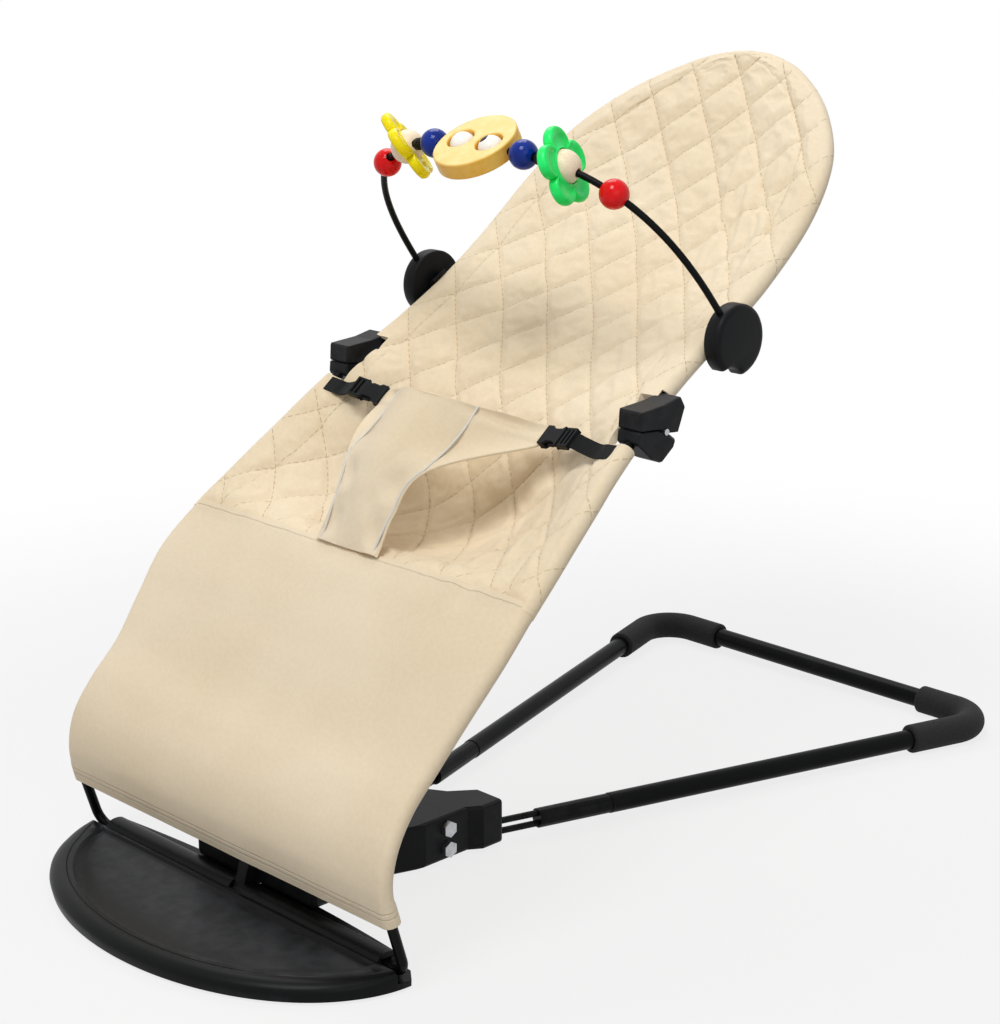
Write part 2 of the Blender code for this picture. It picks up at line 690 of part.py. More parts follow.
def build_leg(name, side):
    """Twin rods out of the hub, the sleeve that joins them to the tube, half of the tube, a grip."""
    pieces = []
    for level, height in rod_heights():
        pieces.append(rod(f"leg_rod_{level}_{name}", leg_point(side, ROD_START_Y, height),
                          leg_point(side, ROD_END_Y, height), ROD_RADIUS, black_steel, 12))
    centre = GRIP_RADIUS
    sleeve = rod(f"leg_sleeve_{name}", leg_point(side, SLEEVE_START_Y, centre),
                 leg_point(side, TUBE_START_Y - SEATED, centre), SLEEVE_RADIUS, black_steel)
    join(sleeve, rod(f"sleeve_spigot_{name}", leg_point(side, TUBE_START_Y - 0.01, centre),
                     leg_point(side, TUBE_START_Y + SPIGOT_LENGTH, centre), SPIGOT_RADIUS))
    for level, height in rod_heights():
        cut(sleeve, rod(f"sleeve_bore_{level}_{name}", leg_point(side, SLEEVE_START_Y - 0.01, height),
                        leg_point(side, ROD_END_Y + SEATED, height), ROD_RADIUS + SEATED, None, 12))
    start = leg_point(side, TUBE_START_Y, centre)
    vertex = leg_point(side, CROSS_TUBE_Y, centre)
    middle = point(side * SEATED / 2, CROSS_TUBE_Y, centre)
    back = tube(f"rear_tube_{name}", rounded_path([start, vertex, middle], TUBE_BEND),
                TUBE_RADIUS, black_steel, 4)
    extra = 0.01
    bore_end = point(-extra if side > 0 else -extra - SEATED, CROSS_TUBE_Y, centre)
    bore = rounded_path([leg_point(side, TUBE_START_Y - extra, centre), vertex, bore_end], TUBE_BEND)
    cut(back, tube(f"tube_bore_{name}", bore, bore_radius(SPIGOT_RADIUS, 12), None, 4))
    if side < 0:
        join(back, rod("cross_spigot", point(-extra, CROSS_TUBE_Y, centre),
                       point(SPIGOT_LENGTH, CROSS_TUBE_Y, centre), SPIGOT_RADIUS))
    along_leg = (start - vertex).normalized()
    along_cross = (middle - vertex).normalized()
    skin = rounded_path([vertex + along_leg * GRIP_LEG_LENGTH, vertex,
                         vertex + along_cross * GRIP_CROSS_LENGTH], TUBE_BEND)
    bore = rounded_path([vertex + along_leg * (GRIP_LEG_LENGTH + extra), vertex,
                         vertex + along_cross * (GRIP_CROSS_LENGTH + extra)], TUBE_BEND)
    grip = tube(f"corner_grip_{name}", skin, GRIP_RADIUS, rubber, 4)
    cut(grip, tube(f"grip_bore_{name}", bore, bore_radius(TUBE_RADIUS, 12), None, 4))
    return [*pieces, sleeve, back, grip]


# Yoke: the wire's foot with the recline sector

def build_yoke():
    top = seat_frame(0.0)[0]
    ahead = seat_frame(0.05)[0] - top
    end = top - ahead.normalized() * BOUNCE_GAP
    mirrored_end = Vector((-end.x, end.y, end.z))
    corner = point(end.x, AXIS_Y, AXIS_Z)
    path = rounded_path([end, corner, Vector((-corner.x, corner.y, corner.z)), mirrored_end], 0.014, 5)
    wire = tube("cross_wire", path, WIRE_RADIUS, black_steel)
    outline = []
    half = math.radians(SECTOR_HALF_ANGLE)
    middle = math.radians(SECTOR_MIDDLE_ANGLE)
    for step in range(2 * SECTOR_TEETH + 1):
        angle = middle - half + 2 * half * step / (2 * SECTOR_TEETH)
        radius = SECTOR_RADIUS - (TOOTH_DEPTH if step % 2 else 0.0)
        outline.append((radius * math.cos(angle), radius * math.sin(angle)))
    for step in range(13):
        angle = middle + math.pi / 3 + (math.tau - 2 * math.pi / 3) * step / 12
        outline.append((SECTOR_RING * math.cos(angle), SECTOR_RING * math.sin(angle)))
    bore = []
    for step in range(16):
        angle = math.tau * step / 16
        bore.append(((WIRE_RADIUS + SEATED) * math.cos(angle), (WIRE_RADIUS + SEATED) * math.sin(angle)))
    matrix = Matrix(((0, 0, 1, 0), (1, 0, 0, HINGE_Y + AXIS_Y), (0, 1, 0, AXIS_Z), (0, 0, 0, 1)))
    sector = plate_from_outline("recline_sector", [outline, bore], SECTOR_HALF_WIDTH, dark_steel, matrix)
    return [wire, sector]


# Seat: wires, side connectors, fabric

def leg_rows():
    return rows_between(place_at_length(HEM_START), CREST_STATION, LEG_ROWS)


def quilt_rows():
    """Rows at each half diamond, and twice as many round the head's arch, with their lattice count."""
    half_diamond = QUILT_DIAMOND_LENGTH / 2
    total = length_between(CREST_STATION, HEAD_STATION)
    count = round(total / half_diamond)
    rows = []
    for step in range(2 * count + 1):
        place = place_at_length(total * step / (2 * count), CREST_STATION)
        if step == 2 * count:
            place = HEAD_STATION
        if step % 2 == 0 or place > ARCH_STATION + 0.5:
            rows.append((place, step / 2))
    return rows


def fabric_row(place, thickness):
    """Edge of the fabric's front panel on the left, its tuck angle, and the frame there."""
    centre, normal, outward, sag = seat_frame(place)
    reach = WIRE_RADIUS + FABRIC_CLEARANCE + thickness / 2
    tuck = 0.0
    half = centre.x
    for _ in range(6):
        tuck = math.atan2(2 * sag, half) if half > 0.001 else 0.0
        half = centre.x - reach * math.sin(tuck) * outward.x
    return centre, normal, outward, sag, reach, tuck


def panel_point(place, thickness, x):
    """Middle of the fabric's front panel at a distance from the centre plane, without quilting."""
    centre, normal, outward, sag, reach, tuck = fabric_row(place, thickness)
    edge = centre + reach * (math.cos(tuck) * normal - math.sin(tuck) * outward)
    share = x / edge.x if edge.x > 0.001 else 0.0
    return Vector((x, edge.y, edge.z)) - normal * sag * (1 - share ** 2)


def fabric_sheet(name, rows, columns, thickness, puff, material):
    """A panel hung between both wires, with a tunnel round each of them, from (place, lattice) rows."""
    mesh = bpy.data.meshes.new(name)
    form = bmesh.new()
    grid = []
    for place, lattice in rows:
        centre, normal, outward, sag, reach, tuck = fabric_row(place, thickness)
        wrap = []
        for step in range(TUNNEL_STEPS + 1):
            angle = math.radians(TUNNEL_WRAP) * (1 - step / TUNNEL_STEPS) - tuck * step / TUNNEL_STEPS
            wrap.append(centre + reach * (math.cos(angle) * normal + math.sin(angle) * outward))
        half = wrap[-1].x
        spacing = 2 * half / columns
        front = []
        for column in range(1, columns):
            across = column - columns / 2
            height = puff * min(1.0, lattice, spacing / (QUILT_DIAMOND_WIDTH / 4))
            height *= abs(math.sin(math.pi * (across + lattice) / 2) * math.sin(math.pi * (across - lattice) / 2))
            if column in (1, columns - 1):
                height *= 0.4
            place_here = panel_point(place, thickness, half * (1 - 2 * column / columns))
            front.append(place_here + normal * height)
        mirrored = [Vector((-spot.x, spot.y, spot.z)) for spot in reversed(wrap)]
        grid.append([form.verts.new(spot) for spot in (*wrap, *front, *mirrored)])
    for lower, upper in zip(grid, grid[1:]):
        for index in range(len(lower) - 1):
            form.faces.new((lower[index], upper[index], upper[index + 1], lower[index + 1]))
    bmesh.ops.remove_doubles(form, verts=form.verts, dist=0.00005)
    bmesh.ops.recalc_face_normals(form, faces=form.faces)
    form.to_mesh(mesh)
    form.free()
    thing = add_object(name, mesh, material)
    thing.data.shade_smooth()
    shell = thing.modifiers.new("thickness", "SOLIDIFY")
    shell.thickness = thickness
    shell.offset = 0.0
    shell.use_even_offset = True
    return thing


def wire_direction(place):
    ahead = seat_frame(place + 0.02)[0]
    return (ahead - seat_frame(place - 0.02)[0]).normalized()


def build_fabric():
    station_length = length_between(CREST_STATION - 0.5, CREST_STATION + 0.5)
    leg_places = leg_rows()
    leg_places[-1] -= SEAM_GAP / station_length
    leg_cover = fabric_sheet("leg_cover", [(place, 0.0) for place in leg_places], LEG_COLUMNS,
                             LEG_FABRIC, 0.0, smooth_fabric)
    rows = quilt_rows()
    rows[0] = (CREST_STATION + QUILT_SEAM_GAP / station_length, 0.0)
    quilted_seat = fabric_sheet("quilted_seat", rows, QUILT_COLUMNS, QUILT_FABRIC, QUILT_PUFF,
                                quilted_fabric)
    hub = seat_frame(JOINT_STATION)[0]
    along = wire_direction(JOINT_STATION)
    for name, side in (("left", 1), ("right", -1)):
        corners = []
        for run, rise in CUT_OUT:
            corners.append((hub.y - HINGE_Y + run * along.y - rise * along.z,
                            hub.z + run * along.z + rise * along.y))
        low, high = sorted((side * (CONNECTOR_INNER_X - CUT_OUT_MARGIN), side * (CONNECTOR_OUTER_X + 0.02)))
        cut(quilted_seat, side_plate(f"cut_out_{name}", corners, low, high))
    return [leg_cover, quilted_seat]


def build_wires():
    """Side wires from the bounce axis to the connectors, and the arch above them."""
    quilt_places = [place for place, _ in quilt_rows()]
    start = 0.012
    lower_end = JOINT_STATION - LOWER_WIRE_END
    upper_start = JOINT_STATION + UPPER_WIRE_START
    lower = [start, *leg_rows(), *[place for place in quilt_places[1:] if place < lower_end - 0.1], lower_end]
    upper = [upper_start, *[place for place in quilt_places if place > upper_start + 0.1]]
    pieces = []
    bores = []
    for name, side in (("left", 1), ("right", -1)):
        pieces.append(tube(f"seat_wire_{name}", wire_points(lower, side), WIRE_RADIUS, black_steel))
        lower_bore = wire_points([*lower[-3:-1], lower_end + 0.006], side)
        upper_bore = wire_points([upper_start - 0.006, *upper[1:3]], side)
        bores.append((name, side, lower_bore, upper_bore))
    arch = [*wire_points(upper, 1), *reversed(wire_points(upper[:-1], -1))]
    pieces.append(tube("back_wire", arch, WIRE_RADIUS, black_steel))
    for name, side, lower_bore, upper_bore in bores:
        low, high = sorted((side * CONNECTOR_INNER_X, side * CONNECTOR_OUTER_X))
        pin_low = Vector((low - PIN_PROUD, HINGE_Y + CONNECTOR_PIN_Y, CONNECTOR_PIN_Z))
        pin_high = Vector((high + PIN_PROUD, HINGE_Y + CONNECTOR_PIN_Y, CONNECTOR_PIN_Z))
        for level, outline, bore in (("lower", CONNECTOR_LOWER, lower_bore),
                                     ("upper", CONNECTOR_UPPER, upper_bore)):
            block = side_plate(f"connector_{level}_{name}", outline, low, high, black_plastic)
            bevel(block, CONNECTOR_EDGE, 1)
            cut(block, tube(f"connector_bore_{level}_{name}", bore, bore_radius(WIRE_RADIUS, 8)),
                rod(f"pin_bore_{level}_{name}", pin_low, pin_high, PIN_RADIUS + SEATED, None, 12))
            pieces.append(block)
        pieces.append(rod(f"connector_pin_{name}", pin_low, pin_high, PIN_RADIUS, dark_steel, 12))
    return pieces


# Harness: flap, straps and side-release buckles

def flap_axes():
    slope = math.radians(FLAP_SLOPE)
    along = Vector((0.0, math.cos(slope), math.sin(slope)))
    normal = Vector((0.0, -math.sin(slope), math.cos(slope)))
    return along, normal


def flap_stations():
    """Foot on the crest, then the rise; the foot follows the crest's fabric."""
    centre, normal, outward, sag, reach, tuck = fabric_row(CREST_STATION, QUILT_FABRIC)
    foot = centre + normal * (reach + QUILT_FABRIC / 2 + FLAP_THICKNESS / 2 + SEATED)
    return ((foot.y - HINGE_Y, foot.z, FLAP_FOOT_HALF_WIDTH), *FLAP_RISE)


def flap_point(place, share):
    """Middle of the flap at a place up its centre line and a share of its half width."""
    along, normal = flap_axes()
    y, z, half = spline_place(flap_stations(), place)
    widest = FLAP_RISE[-1][2]
    half = min(half, widest)
    bend = math.sin(math.pi / 2 * abs(share)) ** 2 * (half / widest) ** 2 * min(1.0, place)
    return point(share * half, y, z) + bend * (FLAP_WING_RISE * along - FLAP_WING_DROP * normal)


def build_flap():
    mesh = bpy.data.meshes.new("harness_flap")
    form = bmesh.new()
    grid = []
    top = len(FLAP_RISE)
    for row in range(FLAP_ROWS + 1):
        place = top * row / FLAP_ROWS
        grid.append([form.verts.new(flap_point(place, 1 - 2 * column / FLAP_COLUMNS))
                     for column in range(FLAP_COLUMNS + 1)])
    for lower, upper in zip(grid, grid[1:]):
        for index in range(FLAP_COLUMNS):
            form.faces.new((lower[index], upper[index], upper[index + 1], lower[index + 1]))
    bmesh.ops.recalc_face_normals(form, faces=form.faces)
    form.to_mesh(mesh)
    form.free()
    flap = add_object("harness_flap", mesh, smooth_fabric)
    flap.data.shade_smooth()
    shell = flap.modifiers.new("thickness", "SOLIDIFY")
    shell.thickness = FLAP_THICKNESS
    shell.offset = 0.0
    return flap


def buckle_matrix(side):
    """Frame of a buckle: X out along it, Y across its webbing, Z through its thickness."""
    along, normal = flap_axes()
    tilt = math.radians(BUCKLE_TILT)
    out = Vector((side * math.cos(tilt), 0, 0)) + normal * math.sin(tilt)
    top = len(FLAP_RISE)
    wing_end = (flap_point(top - 1, side) + flap_point(top, side)) / 2
    place = wing_end + out * (SEATED + FLAP_THICKNESS * math.sin(tilt))
    through = out.cross(along)
    return Matrix.Translation(place) @ Matrix((out, along, through)).transposed().to_4x4()


def buckle_block(name, matrix, start, end, width, thickness, middle=0.0, material=None):
    block = box(name, (start, middle - width / 2, -thickness / 2), (end, middle + width / 2, thickness / 2),
                material)
    block.matrix_world = matrix
    return block


def build_buckle(name, side):
    matrix = buckle_matrix(side)
    socket = buckle_block(f"buckle_socket_{name}", matrix, 0.0, SOCKET_LENGTH, BUCKLE_WIDTH,
                          BUCKLE_THICKNESS, 0.0, black_plastic)
    bevel(socket, 0.0012, 1)
    mouth = SOCKET_LENGTH - PLUG_PRONG_LENGTH - 0.001
    cavity_width = BUCKLE_WIDTH - 0.005
    cavity_height = BUCKLE_THICKNESS - 0.0036
    cut(socket, buckle_block(f"socket_cavity_{name}", matrix, mouth, SOCKET_LENGTH + 0.01,
                             cavity_width, cavity_height),
        buckle_block(f"socket_window_{name}", matrix, mouth + 0.002, SOCKET_LENGTH - 0.004,
                     BUCKLE_WIDTH + 0.01, cavity_height))
    plug_start = SOCKET_LENGTH + SEATED
    plug = buckle_block(f"buckle_plug_{name}", matrix, plug_start, plug_start + PLUG_LENGTH,
                        BUCKLE_WIDTH, BUCKLE_THICKNESS - 0.001, 0.0, black_plastic)
    bevel(plug, 0.0012, 1)
    prong_width = 0.0032
    reach = (cavity_width - prong_width) / 2 - RUNNING
    for prong, middle in (("low", -reach), ("high", reach)):
        join(plug, buckle_block(f"prong_{prong}_{name}", matrix, SOCKET_LENGTH - PLUG_PRONG_LENGTH,
                                plug_start + 0.002, prong_width, cavity_height - 2 * RUNNING, middle))
    out = matrix.to_3x3() @ Vector((1, 0, 0))
    start = matrix @ Vector((plug_start + PLUG_LENGTH + SEATED, 0, 0))
    along, normal = flap_axes()
    place = strap_place(start)
    strap_end = seat_frame(place)[0].x - STRAP_INSET
    end = panel_point(place, QUILT_FABRIC, strap_end)
    end.x *= side
    end += normal * (QUILT_FABRIC / 2 + WEBBING_THICKNESS / 2 + 0.0020)
    inner = panel_point(place, QUILT_FABRIC, strap_end - 0.010)
    inner.x *= side
    inner += normal * (QUILT_FABRIC / 2 + WEBBING_THICKNESS / 2 + 0.0030)
    course = [start - out * 0.01, start, start * 0.5 + inner * 0.5 + normal * 0.002, inner, end]
    mesh = bpy.data.meshes.new(f"strap_{name}")
    form = bmesh.new()
    pairs = []
    for step in range(10):
        spot = spline_place(course, 1 + 3 * step / 9)
        pairs.append([form.verts.new(spot - along * WEBBING_WIDTH / 2),
                      form.verts.new(spot + along * WEBBING_WIDTH / 2)])
    for low, high in zip(pairs, pairs[1:]):
        form.faces.new((low[0], high[0], high[1], low[1]))
    bmesh.ops.recalc_face_normals(form, faces=form.faces)
    form.to_mesh(mesh)
    form.free()
    strap = add_object(f"strap_{name}", mesh, webbing)
    shell = strap.modifiers.new("thickness", "SOLIDIFY")
    shell.thickness = WEBBING_THICKNESS
    shell.offset = 0.0
    return socket, plug, strap


def strap_place(start):
    """Place on the side wire beside the buckle."""
    along, normal = flap_axes()
    best = min(range(100), key=lambda step: abs((seat_frame(10.5 + step / 60)[0] - start).dot(along)))
    return 10.5 + best / 60


# Toy bar: clamps on the wire, arch, beads

def bar_axes():
    lean = math.radians(BAR_LEAN)
    return Vector((0, math.cos(lean), math.sin(lean)))


def knob_inner_x():
    fabric_outer = WIRE_RADIUS + FABRIC_CLEARANCE + QUILT_FABRIC
    return seat_frame(CLAMP_STATION)[0].x + fabric_outer + RUNNING + JAW_WALL + SEATED


def bar_half_span():
    return knob_inner_x() + KNOB_THICKNESS / 2


def bar_point(x):
    """Centre of the bar at a distance from the centre plane."""
    clamp = seat_frame(CLAMP_STATION)[0]
    half = bar_half_span()
    height = BAR_HEIGHT * max(0.0, 1 - (abs(x) / half) ** BAR_POWER) ** (1 / BAR_POWER)
    return Vector((x, clamp.y, clamp.z)) + bar_axes() * height


def bar_tangent(x):
    return (bar_point(x + 0.0005) - bar_point(x - 0.0005)).normalized()


def bead_matrix(x, length):
    """Frame on the bar: at the middle of the chord that a bead of this length spans, Z along it."""
    tangent = bar_tangent(x)
    reach = length / 2 * abs(tangent.x)
    chord = (bar_point(x - reach) + bar_point(x + reach)) / 2
    return axes_to((chord + bar_point(x)) / 2, tangent, Vector((0, 1, 0)))


def build_clamp(name, side):
    centre, normal, outward, _ = seat_frame(CLAMP_STATION)
    centre = Vector((side * centre.x, centre.y, centre.z))
    tangent = wire_direction(CLAMP_STATION)
    tangent = Vector((side * tangent.x, tangent.y, tangent.z))
    inner = knob_inner_x() - seat_frame(CLAMP_STATION)[0].x - SEATED - JAW_WALL
    jaw = rod(f"clamp_jaw_{name}", centre - tangent * JAW_LENGTH / 2, centre + tangent * JAW_LENGTH / 2,
              inner + JAW_WALL, black_plastic, ROUND)
    join(jaw, rod(f"pivot_{name}", centre + Vector((side * (inner + 0.001), 0, 0)),
                  centre + Vector((side * (inner + JAW_WALL + PIVOT_LENGTH), 0, 0)), PIVOT_RADIUS))
    cut(jaw, rod(f"jaw_bore_{name}", centre - tangent * JAW_LENGTH, centre + tangent * JAW_LENGTH,
                 inner, None, ROUND))
    opening = box(f"jaw_opening_{name}", (*JAW_MOUTH[0], -JAW_LENGTH), (*JAW_MOUTH[1], JAW_LENGTH))
    out = Vector((side, 0, 0))
    across = (out - tangent * out.dot(tangent)).normalized()
    front = normal - tangent * normal.dot(tangent)
    opening.matrix_world = (Matrix.Translation(centre)
                            @ Matrix((across, front.normalized(), tangent)).transposed().to_4x4())
    cut(jaw, opening)
    knob_start = side * knob_inner_x()
    hub = Vector((knob_start, centre.y, centre.z))
    face = hub + Vector((side * KNOB_THICKNESS, 0, 0))
    knob = rod(f"clamp_knob_{name}", hub, face, KNOB_RADIUS, black_plastic, 32)
    bevel(knob, KNOB_EDGE)
    lean = bar_axes()
    turn = math.radians(NOTCH_ANGLE)
    notch = hub + Vector((0, math.cos(turn), math.sin(turn))) * (KNOB_RADIUS + NOTCH_OFFSET)
    cut(knob, rod(f"pivot_bore_{name}", hub - Vector((side * 0.01, 0, 0)),
                  hub + Vector((side * (PIVOT_LENGTH + RUNNING), 0, 0)), PIVOT_RADIUS + SEATED),
        rod(f"bar_bore_{name}", hub + Vector((side * KNOB_THICKNESS / 2, 0, 0)) + lean * BAR_BORE_START,
            hub + Vector((side * KNOB_THICKNESS / 2, 0, 0)) + lean * 0.05, BAR_RADIUS + RUNNING, None, 12),
        rod(f"notch_{name}", notch - Vector((side * 0.01, 0, 0)),
            notch + Vector((side * (KNOB_THICKNESS + 0.01), 0, 0)), NOTCH_RADIUS, None, 20))
    return jaw, knob


def build_bar():
    start = BAR_START / BAR_HEIGHT
    first = math.asin(start ** (BAR_POWER / 2))
    points = []
    clamp = seat_frame(CLAMP_STATION)[0]
    for step in range(BAR_POINTS + 1):
        angle = first + (math.pi - 2 * first) * step / BAR_POINTS
        across = math.copysign(abs(math.cos(angle)) ** (2 / BAR_POWER), math.cos(angle))
        x = bar_half_span() * across
        points.append(Vector((x, clamp.y, clamp.z)) + bar_axes() * BAR_HEIGHT * math.sin(angle) ** (2 / BAR_POWER))
    return tube("toy_bar", points, BAR_RADIUS, black_steel)


def flower_outline():
    outline = []
    count = 10 * FLOWER_PETALS
    for step in range(count):
        angle = math.tau * step / count
        lobe = abs(math.cos(FLOWER_PETALS * angle / 2)) ** 0.6
        radius = FLOWER_RADIUS * (0.66 + 0.34 * lobe)
        outline.append((radius * math.cos(angle), radius * math.sin(angle)))
    return outline


def circle(radius, count, x=0.0, y=0.0):
    return [(x + radius * math.cos(math.tau * step / count), y + radius * math.sin(math.tau * step / count))
            for step in range(count)]


def build_flower(name, side, normal, material):
    matrix = bead_matrix(side * FLOWER_X, 2 * FLOWER_BALL_RADIUS)
    ball = bead(f"flower_ball_{name}", FLOWER_BALL_RADIUS, BEAD_BORE, wood, matrix, 20, 8)
    hole = circle(FLOWER_BALL_RADIUS + 0.0007, 20)
    ring = plate_from_outline(f"flower_ring_{name}", [flower_outline(), hole], FLOWER_THICKNESS / 2,
                              material, axes_to(matrix.translation, Vector(normal), Vector((0, 0, 1))))
    return ball, ring


def build_face():
    lean = math.radians(FACE_LEAN)
    normal = Vector((0, -math.sin(lean), math.cos(lean)))
    middle = (bar_point(0.0) + bar_point(FACE_RADIUS)) / 2
    middle.x = 0.0
    matrix = Matrix.Translation(middle) @ Matrix(
        ((1, 0, 0), (0, math.cos(lean), math.sin(lean)), normal)).transposed().to_4x4()
    loops = [circle(FACE_RADIUS, 32), circle(EYE_HOLE_RADIUS, 16, EYE_X), circle(EYE_HOLE_RADIUS, 16, -EYE_X)]
    face = plate_from_outline("face_disc", loops, FACE_THICKNESS / 2, yellow_paint, matrix)
    reach = Vector((FACE_RADIUS + 0.01, 0, 0))
    return cut(face, rod("face_bore", middle - reach, middle + reach, 0.0040, None, 12))


# The whole

clear_scene()
parts = new_collection(COLLECTION)
cutters = new_collection(CUTTERS)

black_plastic = new_material("black_plastic", (0.013, 0.013, 0.014), 0.5)
black_steel = new_material("black_steel", (0.012, 0.012, 0.013), 0.35, 0.2)
dark_steel = new_material("dark_steel", (0.20, 0.20, 0.21), 0.4, 1.0)
bright_steel = new_material("bright_steel", (0.45, 0.45, 0.46), 0.35, 1.0)
rubber = new_material("rubber", (0.018, 0.018, 0.019), 0.75)
smooth_fabric = new_material("smooth_fabric", (0.76, 0.64, 0.47), 0.9)
quilted_fabric = new_material("quilted_fabric", (0.78, 0.67, 0.50), 0.9)
webbing = new_material("webbing", (0.015, 0.015, 0.016), 0.8)
red_paint = new_material("red_paint", (0.62, 0.02, 0.03), 0.2)
blue_paint = new_material("blue_paint", (0.01, 0.03, 0.25), 0.2)
green_plastic = new_material("green_plastic", (0.02, 0.62, 0.22), 0.3)
yellow_plastic = new_material("yellow_plastic", (0.92, 0.80, 0.03), 0.3)
yellow_paint = new_material("yellow_paint", (0.90, 0.66, 0.20), 0.35)
white_paint = new_material("white_paint", (0.85, 0.85, 0.83), 0.25)
wood = new_material("wood", (0.80, 0.62, 0.40), 0.5)

build_plate()
build_ridge_covers()
build_bracket()
build_hub()
build_leg("left", 1)
build_leg("right", -1)

recline = joint_empty("recline_axis", point(0, AXIS_Y, AXIS_Z))
split_point = seat_frame(0.0)[0]
bounce = joint_empty("bounce_axis", Vector((0, split_point.y, split_point.z)))
attach(recline, bounce, *build_yoke())
attach(bounce, *build_fabric(), *build_wires(), build_flap())

clamp_point = seat_frame(CLAMP_STATION)[0]
toy_tilt = joint_empty("toy_bar_axis", Vector((0, clamp_point.y, clamp_point.z)))
attach(bounce, toy_tilt)
attach(toy_tilt, build_bar(), build_face())
for side_name, side_sign in (("left", 1), ("right", -1)):
    buckle_socket, buckle_plug, buckle_strap = build_buckle(side_name, side_sign)
    attach(bounce, buckle_socket, buckle_plug, buckle_strap)
    clamp_jaw, clamp_knob = build_clamp(side_name, side_sign)
    attach(bounce, clamp_jaw)
    attach(toy_tilt, clamp_knob)
    ring_normal, ring_material = {
        "left": ((0.904, 0.245, 0.345), green_plastic),
        "right": ((0.602, 0.529, 0.596), yellow_plastic),
    }[side_name]
    attach(toy_tilt, *build_flower(side_name, side_sign, ring_normal, ring_material))
    for bead_name, bead_x, bead_radius, bead_paint in (("red_bead", RED_BEAD_X, BEAD_RADIUS, red_paint),
                                                      ("blue_bead", BLUE_BEAD_X, BEAD_RADIUS, blue_paint),
                                                      ("eye_ball", EYE_X, EYE_RADIUS, white_paint)):
        attach(toy_tilt, bead(f"{bead_name}_{side_name}", bead_radius, BEAD_BORE, bead_paint,
                              bead_matrix(side_sign * bead_x, 2 * bead_radius)))
    half_spacer = SPACER_LENGTH / 2
    spacer_bore = BAR_RADIUS + RUNNING
    attach(toy_tilt, turned(f"bar_spacer_{side_name}",
                            [(spacer_bore, half_spacer), (SPACER_RADIUS, half_spacer),
                             (SPACER_RADIUS, -half_spacer), (spacer_bore, -half_spacer)],
                            black_plastic, bead_matrix(side_sign * SPACER_X, SPACER_LENGTH), 12))
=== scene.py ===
import math

import bmesh
import bpy
from mathutils import Matrix, Vector, noise


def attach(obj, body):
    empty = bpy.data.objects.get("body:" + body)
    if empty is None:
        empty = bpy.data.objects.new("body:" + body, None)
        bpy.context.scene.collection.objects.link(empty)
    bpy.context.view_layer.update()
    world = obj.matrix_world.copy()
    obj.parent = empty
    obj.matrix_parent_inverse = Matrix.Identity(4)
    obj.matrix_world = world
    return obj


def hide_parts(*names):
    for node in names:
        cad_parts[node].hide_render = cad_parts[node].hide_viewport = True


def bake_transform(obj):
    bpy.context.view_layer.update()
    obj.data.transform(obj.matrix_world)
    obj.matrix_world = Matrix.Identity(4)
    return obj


# Baby bouncer: a beige cotton sling on a black spring-wire frame, with a toy bar of lacquered wood and
# plastic. Metres, the origin on the floor under the middle, +X towards the green flower's side, +Y towards
# the head end.

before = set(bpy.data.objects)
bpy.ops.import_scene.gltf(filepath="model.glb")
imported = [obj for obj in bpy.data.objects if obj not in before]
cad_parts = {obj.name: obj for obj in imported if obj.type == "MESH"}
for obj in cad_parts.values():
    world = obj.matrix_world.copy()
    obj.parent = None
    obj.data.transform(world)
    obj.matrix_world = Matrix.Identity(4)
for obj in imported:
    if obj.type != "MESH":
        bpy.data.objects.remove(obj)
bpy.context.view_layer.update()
scene = bpy.context.scene


def addObject(name, data):
    item = bpy.data.objects.new(name, data)
    scene.collection.objects.link(item)
    return item


# Camera, floor and lamps

view = dict(place=(1.390, -1.394, 0.849), ahead=(-0.6844, 0.6737, -0.2790), lens=79.9)

cameraData = bpy.data.cameras.new("camera")
cameraData.lens = view["lens"]
camera = addObject("camera", cameraData)
camera.location = view["place"]
camera.rotation_euler = Vector(view["ahead"]).to_track_quat("-Z", "Y").to_euler()
scene.camera = camera
scene.view_settings.view_transform = "Standard"


def toLinear(code):     # an sRGB hex code as linear red, green, blue and alpha
    channels = [int(code[i:i + 2], 16) / 255 for i in (1, 3, 5)]
    return (*(c / 12.92 if c <= 0.04045 else ((c + 0.055) / 1.055) ** 2.4 for c in channels), 1.0)


def addNode(tree, kind, inputs=None, **settings):       # sockets in inputs are linked, other values are set
    node = tree.nodes.new("ShaderNode" + kind)
    for name, value in settings.items():
        setattr(node, name, value)
    for socket, value in (inputs or {}).items():
        if isinstance(value, bpy.types.NodeSocket):
            tree.links.new(value, node.inputs[socket])
        else:
            node.inputs[socket].default_value = value
    return node


stageLook = dict(floorColour="#C0C0C0", roomColour="#FFFFFF", roomStrength=0.40, floorSize=12.0,
                 floorDrop=0.0005, glow=0.80, fadeStart=0.55, fadeEnd=1.25)


def seenDirectly(tree):     # 1 for what the camera sees, also by a mirror or through glass
    rays = addNode(tree, "LightPath").outputs
    seen = rays["Is Camera Ray"]
    for ray in ("Is Glossy Ray", "Is Transmission Ray"):
        seen = addNode(tree, "Math", {0: seen, 1: rays[ray]}, operation="MAXIMUM").outputs[0]
    return seen


